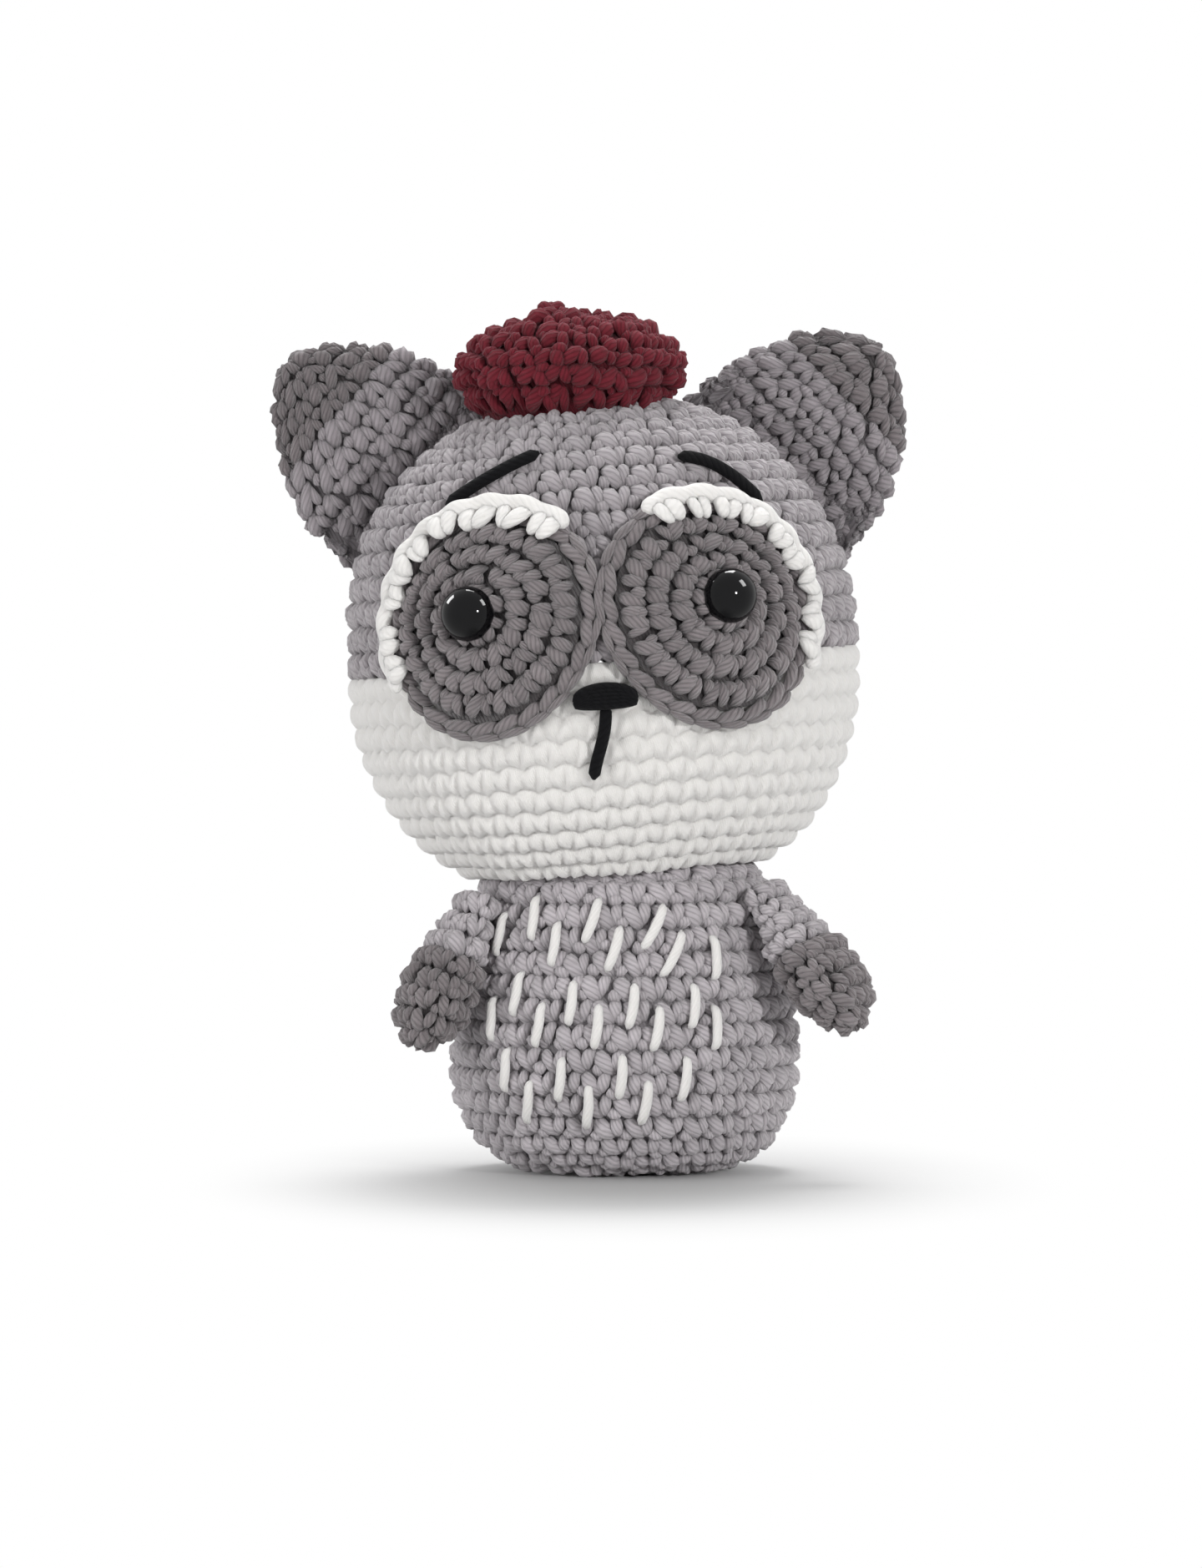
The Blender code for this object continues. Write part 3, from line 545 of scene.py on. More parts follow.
class Fabric:
    """Yarn that is gathered into one mesh: points, faces, places along the strands, and tones."""

    # depth over which the painted crease shade darkens a stitch's legs
    CREASE_DEPTH = 0.0024
    DRIFT = (0.1, 0.6)             # least and added shift of a round's start, in stitches
    SLIP = 0.05                    # how much stitches differ along their round
    CLIMB = 0.045                  # in height
    PLUMP = 0.07                   # in fullness
    PROUD = 0.00013                # in how far they stand out
    LEAN = 0.07                    # in slope
    SHADE = 0.12                   # how much a stitch's legs differ in tone
    LINK_OVERLAP = 1.08            # of a chain's links
    LINK_PLUMP = 1.25
    LINK_SLIP = 0.00006

    def __init__(self, seed: int) -> None:
        """Start with no yarn, and with draws of its own."""
        self.draw = np.random.default_rng(seed)
        self._points: list[np.ndarray] = []
        self._corners: list[np.ndarray] = []
        self._sizes: list[np.ndarray] = []
        self._strand: list[np.ndarray] = []
        self._tones: list[np.ndarray] = []
        self._total = 0

    def add(self, points: np.ndarray, model: Model, tones: np.ndarray) -> None:
        """Add copies of a model.

        Args:
            points: the points of each copy, as (copies, points, 3).
            model: the faces that every copy has.
            tones: one tone for each copy, or for each of its points.
        """
        copies, count = points.shape[:2]
        first = self._total + np.arange(copies)[:, None] * count
        slide = self.draw.random((copies, 1))
        strand = np.repeat(model.strand[None], copies, axis=0)
        strand[:, :, 1] += slide
        self._points.append(points.reshape(-1, 3))
        self._corners.append((first + model.corners[None]).ravel())
        self._sizes.append(np.tile(model.sizes, copies))
        self._strand.append(strand.reshape(-1, 2))
        self._tones.append(tones.ravel() if tones.ndim == 2 else np.repeat(tones, count))
        self._total += copies * count

    def rounds(self, surface: Surface, start: float, end: float, first: float = 0.0, sink: float = SINK,
               row: float = ROW, width: float = STITCH, counts: tuple[int, ...] = (), loose: float = 1.0,
               legs: list[Model] | None = None) -> float:
        """Work rounds of stitches over a surface.

        Args:
            surface: what they are laid on.
            start: where the first round begins, along the surface.
            end: where the last round ends.
            first: the turn at which the first round starts.
            sink: how far under the outside the stitches' feet lie.
            row: about how tall a round is.
            width: about how wide a stitch is.
            counts: stitches in each round, where they aren't worked out from the girth.
            loose: how uneven the stitches are.
            legs: the legs of each stitch, where they aren't the usual ones.

        Returns:
            The turn at which a next round would start.
        """
        many = len(counts) or max(1, round((end - start) / row))
        edges = np.linspace(start, end, many + 1)
        for number in range(many):
            low, high = edges[number], edges[number + 1]
            count = counts[number] if counts else max(5, round(surface.girth(0.5 * (low + high)) / width))
            self.one_round(surface, low, high, count, first, sink, loose=loose, legs=legs)
            first -= (self.DRIFT[0] + self.DRIFT[1] * self.draw.random()) / count
        return first

    def one_round(self, surface: Surface, low: float, high: float, count: int, first: float, sink: float,
                  span: float = 1.0, loose: float = 1.0, legs: list[Model] | None = None) -> None:
        """Work one round of stitches, or a part of one.

        Args:
            surface: what it is laid on.
            low: where it begins along the surface.
            high: where it ends.
            count: how many stitches it has.
            first: the turn at which it starts.
            sink: how far under the outside the stitches' feet lie.
            span: the share of a turn that it runs.
            loose: how uneven the stitches are.
            legs: the legs of each stitch, where they aren't the usual ones.
        """
        tones = self.draw.random(count)
        slip = self.draw.normal(0.0, self.SLIP * loose, (count, 1))
        climb = self.draw.normal(0.0, self.CLIMB * loose, (count, 1))
        for model in legs or LEGS:
            plump = self.draw.normal(1.0, self.PLUMP * loose, (count, 1))
            proud = self.draw.normal(0.0, self.PROUD * loose, (count, 1))
            lean = self.draw.normal(0.0, self.LEAN * loose, (count, 1))
            up = model.points[None, :, 1] / ROW
            across = model.points[None, :, 0] / STITCH * plump + slip + lean * (up - 0.5)
            turn = first + span * (np.arange(count)[:, None] + 0.5 + across) / count
            along = low + (up + climb) * (high - low)
            lift = model.points[None, :, 2] * plump + proud - sink
            # Painted shade: points of a leg that lie deep in the fabric get a darker tone.
            deep = 1.0 - smooth_step(0.5 + model.points[None, :, 2] / self.CREASE_DEPTH)
            shade = tones[:, None] + self.draw.normal(0.0, self.SHADE, (count, 1)) - CREASE_SHADE * deep
            self.add(surface.at(turn, along, lift), model, shade)

    def chain(self, surface: Surface, along: float, start: float, end: float, link: float, width: float,
              lift: float) -> None:
        """Lay a chain of stitches along a round, on its side.

        Args:
            surface: what it is laid on.
            along: where the chain's middle lies along the surface.
            start: the turn at which it starts.
            end: the turn at which it ends.
            link: about how long a link is.
            width: how wide the chain is.
            lift: how far out of the surface its middle lies.
        """
        span = surface.girth(along) * abs(end - start)
        count = max(2, round(span / link))
        tones = self.draw.random(count)
        for model in LEGS[:2]:
            slip = self.draw.normal(0.0, self.LINK_SLIP, (count, 1))
            across = model.points[None, :, 0] / STITCH * width + slip
            onward = np.arange(count)[:, None] + model.points[None, :, 1] / ROW * self.LINK_OVERLAP
            turn = start + (end - start) * onward / count
            out = lift + model.points[None, :, 2] * (width / STITCH * self.LINK_PLUMP)
            self.add(surface.at(turn, along + across, np.broadcast_to(out, turn.shape)), model, tones)

    def lining(self, rings: np.ndarray, tone: float = LINING_SHADE, places: np.ndarray | None = None) -> None:
        """Close the form under the stitches.

        Args:
            rings: points as (rings, points, 3), from one end of the form to the other.
            tone: how bright the lining is; by default it is darkened as painted shade.
            places: where each point lies on its strand, where the lining shows as stitches.
        """
        many, count = rings.shape[:2]
        ends = rings[[0, -1]].mean(axis=1)
        points = np.concatenate((rings.reshape(-1, 3), ends))
        ring = np.arange(many - 1)[:, None] * count
        here = np.arange(count)[None]
        there = (here + 1) % count
        quads = np.stack((ring + here, ring + there, ring + count + there, ring + count + here), axis=-1)
        last = (many - 1) * count
        first_fan = np.stack((np.full(count, many * count), there[0], here[0]), axis=-1)
        last_fan = np.stack((np.full(count, many * count + 1), last + here[0], last + there[0]), axis=-1)
        corners = np.concatenate((quads.ravel(), first_fan.ravel(), last_fan.ravel()))
        sizes = np.concatenate((np.full(quads.size // 4, 4), np.full(2 * count, 3)))
        if places is None:
            strand = np.column_stack((points[corners][:, 0] / STITCH, points[corners][:, 2] / ROW))
        else:
            strand = np.concatenate((places.reshape(-1, 2), np.zeros((2, 2))))[corners]
        self.add(points[None], Model(points, corners, sizes, strand), np.array([tone]))

    def strand(self, path: np.ndarray, outward: np.ndarray, half_width: float, half_depth: float,
               tip: float = 0.35, tone: float = 0.6, sides: int = 10, taper: float = 0.0) -> None:
        """Lay one strand of yarn along a path.

        Args:
            path: the points of its middle.
            outward: the direction out of the fabric at each point.
            half_width: half its width along the fabric.
            half_depth: half its depth out of the fabric.
            tip: share of the thickness that its ends have.
            tone: how bright it is.
            sides: how many sides it has.
            taper: share of the thickness that is lost from its middle to its ends.
        """
        step = np.gradient(path, axis=0)
        step /= np.linalg.norm(step, axis=1, keepdims=True)
        sideways = np.cross(step, outward)
        sideways /= np.linalg.norm(sideways, axis=1, keepdims=True)
        up = np.cross(sideways, step)
        length = np.concatenate(([0.0], np.cumsum(np.linalg.norm(np.diff(path, axis=0), axis=1))))
        end = np.minimum(length, length[-1] - length) / half_width
        fuller = 1.0 - taper * (2.0 * length / length[-1] - 1.0) ** 2
        thick = (fuller * (tip + (1.0 - tip) * np.sqrt(np.clip(end, 0.0, 1.0))))[:, None, None]
        angle = FULL_TURN * np.arange(sides) / sides
        rings = path[:, None] + thick * (
            half_width * np.cos(angle)[None, :, None] * sideways[:, None]
            + half_depth * np.sin(angle)[None, :, None] * up[:, None]
        )
        many = len(path)
        ring = np.arange(many - 1)[:, None] * sides
        here = np.arange(sides)[None]
        there = (here + 1) % sides
        quads = np.stack((ring + here, ring + sides + here, ring + sides + there, ring + there), axis=-1)
        caps = np.concatenate((np.arange(sides), (many - 1) * sides + np.arange(sides)[::-1]))
        sizes = np.concatenate((np.full(quads.size // 4, 4), np.full(2, sides)))
        around = np.stack((here, here, here + 1, here + 1), axis=-1) / sides
        around = np.broadcast_to(around, quads.shape).ravel()
        turns = length / STITCH
        onward = np.stack((turns[:-1], turns[1:], turns[1:], turns[:-1]), axis=-1)
        onward = np.broadcast_to(onward[:, None], quads.shape).ravel()
        strand = np.column_stack((np.concatenate((around, np.zeros(2 * sides))),
                                  np.concatenate((onward, np.zeros(2 * sides)))))
        model = Model(rings.reshape(-1, 3), np.concatenate((quads.ravel(), caps)), sizes, strand)
        self.add(model.points[None], model, np.array([tone]))

    def piece(self, name: str, yarn: Yarn, floor: bool = False) -> bpy.types.Object:
        """Make the mesh.

        Args:
            name: the piece's name.
            yarn: its finish.
            floor: whether the yarn is pressed flat where the toy stands.

        Returns:
            The new object, at the origin.
        """
        points = np.concatenate(self._points)
        if floor:
            points[:, 2] = np.maximum(points[:, 2], 0.0)
        corners = np.concatenate(self._corners).astype(np.int32)
        sizes = np.concatenate(self._sizes)
        starts = np.concatenate(([0], np.cumsum(sizes)[:-1])).astype(np.int32)
        mesh = bpy.data.meshes.new(name)
        mesh.vertices.add(len(points))
        mesh.vertices.foreach_set("co", points.astype(np.float32).ravel())
        mesh.loops.add(len(corners))
        mesh.loops.foreach_set("vertex_index", corners)
        mesh.polygons.add(len(sizes))
        mesh.polygons.foreach_set("loop_start", starts)
        mesh.update(calc_edges=True)
        places = mesh.uv_layers.new(name=STRAND_MAP)
        places.uv.foreach_set("vector", np.concatenate(self._strand).astype(np.float32).ravel())
        tones = mesh.attributes.new(TONE, "FLOAT", "POINT")
        tones.data.foreach_set("value", np.concatenate(self._tones).astype(np.float32))
        mesh.shade_smooth()
        mesh.materials.append(yarn.material())
        made = bpy.data.objects.new(name, mesh)
        bpy.context.scene.collection.objects.link(made)
        return made


def hand_over(piece: bpy.types.Object, nodes: tuple[str, ...], body: str | None) -> None:
    """Tell the frame what a piece is.

    Args:
        piece: the finished piece.
        nodes: the CAD nodes that it stands for.
        body: the body that it rides on, or None, where it is attached to no body.
    """
    if body:
        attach(piece, body)
    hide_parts(*nodes)
    LOG.info("%s: %d faces, in place of %s", piece.name, len(piece.data.polygons), ", ".join(nodes))


def rings_of(surface: Surface, stations: np.ndarray, sink: float, count: int = 48) -> np.ndarray:
    """Rings of points under the outside of a surface.

    Args:
        surface: what they follow.
        stations: where they lie along it.
        sink: how far under its outside they lie.
        count: points in a ring.

    Returns:
        Points as (rings, points, 3).
    """
    turn, along = np.meshgrid(np.arange(count) / count, stations)
    return surface.at(turn, along, np.full(turn.shape, -sink))


@dataclass(frozen=True)
class HeadShape:
    """The round head's outside, with heights from the line where grey yarn changes to white."""

    radius: float = 0.0383
    jaw: float = 0.0319
    crown: float = 0.040
    rounding: float = 2.3
    pivot: float = 0.0298          # height of the point that it turns and nods about
    pivot_drop: float = 0.0146     # from the neck seam down to that point
    neck: float = 0.0213
    tilt: float = math.radians(-4.0)

    @property
    def colour_line(self) -> float:
        """Height of the colour line above the pivot."""
        return self.pivot_drop + self.jaw

    @property
    def jaw_span(self) -> float:
        """Height of the curve that the jaw is cut from."""
        return self.jaw / (1.0 - (self.neck / self.radius) ** self.rounding) ** (1.0 / self.rounding)

    @property
    def ball(self) -> float:
        """Radius of the ball at the neck."""
        return math.hypot(self.neck, self.pivot_drop)

    @property
    def place(self) -> Matrix:
        """The head's frame: its origin is the pivot."""
        return Matrix.Translation((0.0, 0.0, self.pivot)) @ Matrix.Rotation(self.tilt, 4, "Y")

    def radius_at(self, height: np.ndarray, outset: np.ndarray) -> np.ndarray:
        """Radius at a height, outside the head by an outset."""
        span = np.where(height > 0.0, self.crown, self.jaw_span) + outset
        return (self.radius + outset) * rounded(np.abs(height) / span, self.rounding)

    def outside(self, azimuth: np.ndarray, height: np.ndarray, outset: np.ndarray) -> np.ndarray:
        """Points outside the head, from azimuths from the front towards the right, in the row frame."""
        radius = self.radius_at(height, outset)
        local = np.stack(
            (radius * np.sin(azimuth), -radius * np.cos(azimuth), self.colour_line + height), axis=-1
        )
        return placed(local, self.place)

    def across(self, across: np.ndarray, height: np.ndarray, outset: float) -> np.ndarray:
        """Points outside the front of the head, from how far across and how high they are seen."""
        radius = self.radius_at(height, np.full(np.shape(height), outset))
        return self.outside(np.arcsin(across / radius), height, np.full(np.shape(height), outset))

    def outline(self) -> np.ndarray:
        """The outline of (radius, height), from the neck up to the top."""
        top = quarter(self.radius, self.crown, self.rounding)[::-1]
        reach = math.acos(min(1.0, (self.neck / self.radius) ** (0.5 * self.rounding)))
        turn = np.linspace(reach, 0.0, 40)[:-1]
        over = self.radius * np.cos(turn) ** (2.0 / self.rounding)
        drop = self.jaw_span * np.sin(turn) ** (2.0 / self.rounding)
        lower = np.column_stack((over, self.colour_line - drop))
        return np.concatenate((lower, top + np.array((0.0, self.colour_line))))


HEAD = HeadShape()


@dataclass
class Body:
    """The body: its crocheted cover and the white stitches on its chest."""

    base: float = 0.0118           # radius of the flat that it stands on
    belly: float = 0.0261
    belly_height: float = 0.017
    neck_height: float = 0.0444
    belly_rounding: float = 2.2
    shoulder_slope: float = 1.7
    row: float = 0.0037
    fur_length: float = 0.0066
    neck_sink: float = 0.0004      # how much deeper the stitches on the head's ball lie
    neck_rounds: float = 2.0
    ball_end: float = 0.35         # angle from straight up at which the ball's cover ends
    fur_width: float = 0.00078
    fur_depth: float = 0.8         # depth over width
    fur_straight: float = 0.30     # share of the length, from the middle, before the ends go in
    fur_dive: float = 0.0011       # how far the ends go in
    fur_bow: float = 0.0003
    # millimetres: how far across and how high each stitch's middle is, and how far its top leans to the right
    fur: tuple[tuple[float, float, float], ...] = (
        (-13.3, 38.4, 1.0), (-4.9, 38.2, 2.4), (4.1, 37.3, 3.3),
        (-18.2, 35.9, 2.3), (-10.3, 34.7, 1.2), (-1.7, 34.1, 2.1), (6.9, 33.4, 3.2), (12.9, 32.7, -0.4),
        (-15.8, 27.3, 1.7), (-7.9, 26.2, 0.9), (0.9, 25.8, 1.0), (9.8, 25.7, 0.4),
        (-19.4, 23.5, 0.6), (-12.6, 22.9, 1.3), (-4.2, 22.8, 0.8), (4.5, 22.5, 1.1), (13.0, 22.5, -0.1),
        (-17.4, 16.1, 0.5), (-9.5, 15.0, 0.7), (-0.7, 15.5, 0.6), (8.5, 15.1, 1.0),
        (-14.1, 11.5, 0.6), (-5.5, 11.0, 0.4), (2.8, 11.7, 1.2),
    )

    def radius(self, height: np.ndarray) -> np.ndarray:
        """Radius of the body's outside at a height."""
        low = rounded((self.belly_height - height) / self.belly_height, self.belly_rounding)
        share = np.clip((height - self.belly_height) / (self.neck_height - self.belly_height), 0.0, None)
        return np.where(
            height < self.belly_height,
            self.base + (self.belly - self.base) * low,
            self.belly - (self.belly - HEAD.neck) * share ** self.shoulder_slope,
        )

    def form(self) -> Form:
        """The body from the middle of its base up to the ball that the head sits on."""
        swell = quarter(self.belly_height, self.belly - self.base, self.belly_rounding)[::-1]
        lower = np.column_stack((self.base + swell[:, 1], self.belly_height - swell[:, 0]))
        heights = np.linspace(self.belly_height, self.neck_height, 40)[1:]
        upper = np.column_stack((self.radius(heights), heights))
        lean = np.linspace(math.atan2(HEAD.neck, HEAD.pivot_drop), self.ball_end, 24)[1:]
        dome = np.column_stack((HEAD.ball * np.sin(lean), HEAD.pivot + HEAD.ball * np.cos(lean)))
        flat = np.column_stack((np.linspace(0.0, self.base, 12)[:-1], np.zeros(11)))
        profile = turned(np.concatenate((flat, lower, upper, dome)))
        return Form(profile, Matrix.Identity(4), Worked.UPWARDS, LUMPS)

    def build(self) -> None:
        """Make and hand over the body's pieces."""
        form = self.form()
        fabric = Fabric(11)
        neck = form.along_at(self.neck_height)
        first = fabric.rounds(form, 0.0, neck, row=self.row)
        fabric.rounds(form, neck, neck + self.neck_rounds * self.row, first, SINK + self.neck_sink, self.row)
        fabric.lining(rings_of(form, np.linspace(0.0, form.length, 60), LINING))
        hand_over(fabric.piece("body_crochet", LIGHT_GREY, floor=True),
                  ("body_cover", "body_stuffing"), "torso")
        for number, stitch in enumerate(self.fur, start=1):
            self._fur(number, *[0.001 * part for part in stitch])

    def _fur(self, number: int, across: float, height: float, lean: float) -> None:
        """One white stitch on the chest, bowed a little to the right.

        Args:
            number: its number, from the top.
            across: how far across its middle is.
            height: where its middle is.
            lean: how far its top lies to the right of its foot.
        """
        share = np.linspace(-0.5, 0.5, 13)
        level = height + share * self.fur_length
        beyond = np.clip(np.abs(share) - self.fur_straight, 0.0, None) / (0.5 - self.fur_straight)
        half_depth = self.fur_depth * self.fur_width
        out = self.radius(level) + half_depth - self.fur_dive * beyond ** 2
        bow = self.fur_bow * np.cos(math.pi * share)
        turn = np.arcsin(across / self.radius(level)) + (share * lean + bow) / out
        outward = np.column_stack((np.sin(turn), -np.cos(turn), np.zeros(len(turn))))
        path = outward * out[:, None]
        path[:, 2] = level
        fabric = Fabric(100 + number)
        fabric.strand(path, outward, self.fur_width, half_depth, tip=0.45, taper=0.3)
        name = "fur_stitch_%02d" % number
        hand_over(fabric.piece("white_" + name, WHITE), (name,), "torso")


@dataclass
class Neck:
    """The strand that sews the head on."""

    height: float = 0.0433
    yarn: float = 0.0008
    inset: float = 0.0012          # from the seam's rim in to the strand
    stitches: int = 30
    overlap: float = 0.55          # how far each stitch reaches from its middle, in stitches
    slant: float = 0.0009
    steps: int = 7

    def build(self) -> None:
        """Make and hand over the ring of sewing stitches."""
        fabric = Fabric(21)
        share = np.linspace(-self.overlap, self.overlap, self.steps)
        for number in range(self.stitches):
            turn = FULL_TURN * (number + share) / self.stitches
            outward = np.column_stack((np.cos(turn), np.sin(turn), np.zeros(self.steps)))
            path = outward * (HEAD.neck - self.inset)
            path[:, 2] = self.height + self.slant * share
            fabric.strand(path, outward, self.yarn, self.yarn, tip=0.6, sides=6)
        hand_over(fabric.piece("neck_sewing", LIGHT_GREY), ("neck_seam",), "neck")


@dataclass
class Head:
    """The head's grey and white covers."""

    fill: float = 0.95
    white_rows: int = 10
    row_steps: int = 12            # rings of points in a white row
    columns: int = 560             # points in a ring
    groove: float = 0.0013         # how deep the white rows meet under the outside
    rib: float = 0.0014            # how far they bulge from there
    arch: float = 0.55             # exponent of the bulge: the lower, the flatter its top
    scallop: float = 0.26          # share of a row that its stitches' feet hang down
    scallop_level: float = 0.6     # keeps a scalloped row at about its own height
    slope: float = 0.2             # of the creases, in stitches to a row
    crease_between: float = 0.46   # how deep the yarn folds in between two stitches
    crease_within: float = 0.34    # and between a stitch's two legs
    crease_width: float = 0.10     # in stitches
    socket_start: float = 0.05     # angles from straight up between which the neck's hollow lies
    socket_end: float = 0.93

    def form(self) -> Form:
        """The head from the neck up to the top."""
        return Form(turned(HEAD.outline()), HEAD.place, Worked.UPWARDS, LUMPS)

    def build(self) -> None:
        """Make and hand over the two covers."""
        form = self.form()
        line = form.along_at(HEAD.colour_line)
        jaw = Fabric(31)
        turn, along = np.meshgrid(0.25 + np.arange(self.columns) / self.columns,
                                  np.linspace(0.0, line - 0.5 * GAP, self.row_steps * self.white_rows + 1))
        lift, places = self._white_rows(form, turn, along, line / self.white_rows, jaw.draw)
        socket = self._socket(np.linspace(self.socket_start, self.socket_end, 12), turn[0])
        places = np.concatenate((np.zeros((*socket.shape[:2], 2)), places))
        jaw.lining(np.concatenate((socket, form.at(turn, along, lift))), tone=0.6, places=places)
        hand_over(jaw.piece("jaw_crochet", WHITE), ("jaw_cover",), "head")

        crown = Fabric(32)
        crown.rounds(form, line, form.length - 0.001)
        crown.lining(rings_of(form, np.linspace(line + 0.5 * GAP, form.length, 28), LINING))
        hand_over(crown.piece("crown_crochet", CROWN_GREY_SHADED), ("crown_cover", "head_stuffing"),
                  "head")

    def _white_rows(self, form: Form, turn: np.ndarray, along: np.ndarray, row: float,
                    draw: np.random.Generator) -> tuple[np.ndarray, np.ndarray]:
        """The relief of the white rows: the yarn is full, so its stitches close up into one soft skin.

        Args:
            form: what the rows are worked on.
            turn: shares of a turn round the form.
            along: metres along it.
            row: how tall a row is.
            draw: where each row's start comes from.

        Returns:
            How far each point lies out of the form, and its place on its strand.
        """
        middles = (np.arange(self.white_rows + 1) + 0.5) * row
        counts = np.array([round(form.girth(middle) / STITCH) for middle in middles])
        starts = draw.random(self.white_rows + 1)

        def edge(number: np.ndarray) -> np.ndarray:
            """Where a row begins, in rows: its stitches' feet hang down a little over the row before."""
            held = np.clip(number, 0, self.white_rows)
            wave = np.abs(np.sin(math.pi * (turn * counts[held] + starts[held])))
            return number + self.scallop * (wave - self.scallop_level)

        height = along / row
        number = np.floor(height).astype(int)
        number = number - (height < edge(number)) + (height >= edge(number + 1))
        number = np.clip(number, 0, self.white_rows - 1)
        up = np.clip((height - edge(number)) / (edge(number + 1) - edge(number)), 0.0, 1.0)
        across = turn * counts[number] + starts[number]
        lean = self.slope * (up - 0.5)
        between, within = across - lean, across + 0.5 + lean
        creases = self.crease_between * np.exp(-((between - np.round(between)) / self.crease_width) ** 2)
        creases += self.crease_within * np.exp(-((within - np.round(within)) / self.crease_width) ** 2)
        lift = self.rib * (1.0 - creases) * np.sin(math.pi * up) ** self.arch - self.groove
        return lift, np.stack((2.0 * across, number + up), axis=-1)

    def _socket(self, lean: np.ndarray, turn: np.ndarray) -> np.ndarray:
        """Rings on the hollow that the neck's ball turns in, from its top down, at these turns."""
        turn, lean = np.meshgrid(FULL_TURN * turn, lean)
        radius = HEAD.ball + GAP
        local = np.stack((radius * np.sin(lean) * np.cos(turn), radius * np.sin(lean) * np.sin(turn),
                          radius * np.cos(lean)), axis=-1)
        return placed(local, HEAD.place)


@dataclass
class FaceDisc:
    """A flat disc that is laid on the front of the head, with turns counted from straight to the right.

    Its first round lies round a focus, and its rounds shift from there to the disc's middle as they grow.
    Towards the nose its rounds are drawn in.
    """

    sign: float
    azimuth: float
    height: float
    focus: tuple[float, float]     # across and up from the disc's middle
    radius: float
    pinch: float = 0.11            # share of the radius that is drawn in towards the nose
    seat: float = GAP

    def at(self, turn: np.ndarray, along: np.ndarray, lift: np.ndarray) -> np.ndarray:
        """Points on or off the disc.

        Args:
            turn: shares of a turn round the disc.
            along: metres from its middle.
            lift: metres off the head.

        Returns:
            Points in the row frame.
        """
        angle = FULL_TURN * turn
        early = np.clip(1.0 - along / self.radius, 0.0, 1.0)
        nosewards = np.cos(angle + (0.5 + 0.25 * self.sign) * math.pi)
        along = along * (1.0 - self.pinch * np.clip(nosewards, 0.0, 1.0) ** 2)
        level = self.height + self.focus[1] * early + along * np.sin(angle)
        spread = HEAD.radius_at(level, np.full(np.shape(level), GAP))
        azimuth = self.azimuth + (self.focus[0] * early + along * np.cos(angle)) / spread
        return HEAD.outside(azimuth, level, self.seat + np.asarray(lift))

    def girth(self, along: float) -> float:
        """The length of a round."""
        return FULL_TURN * along


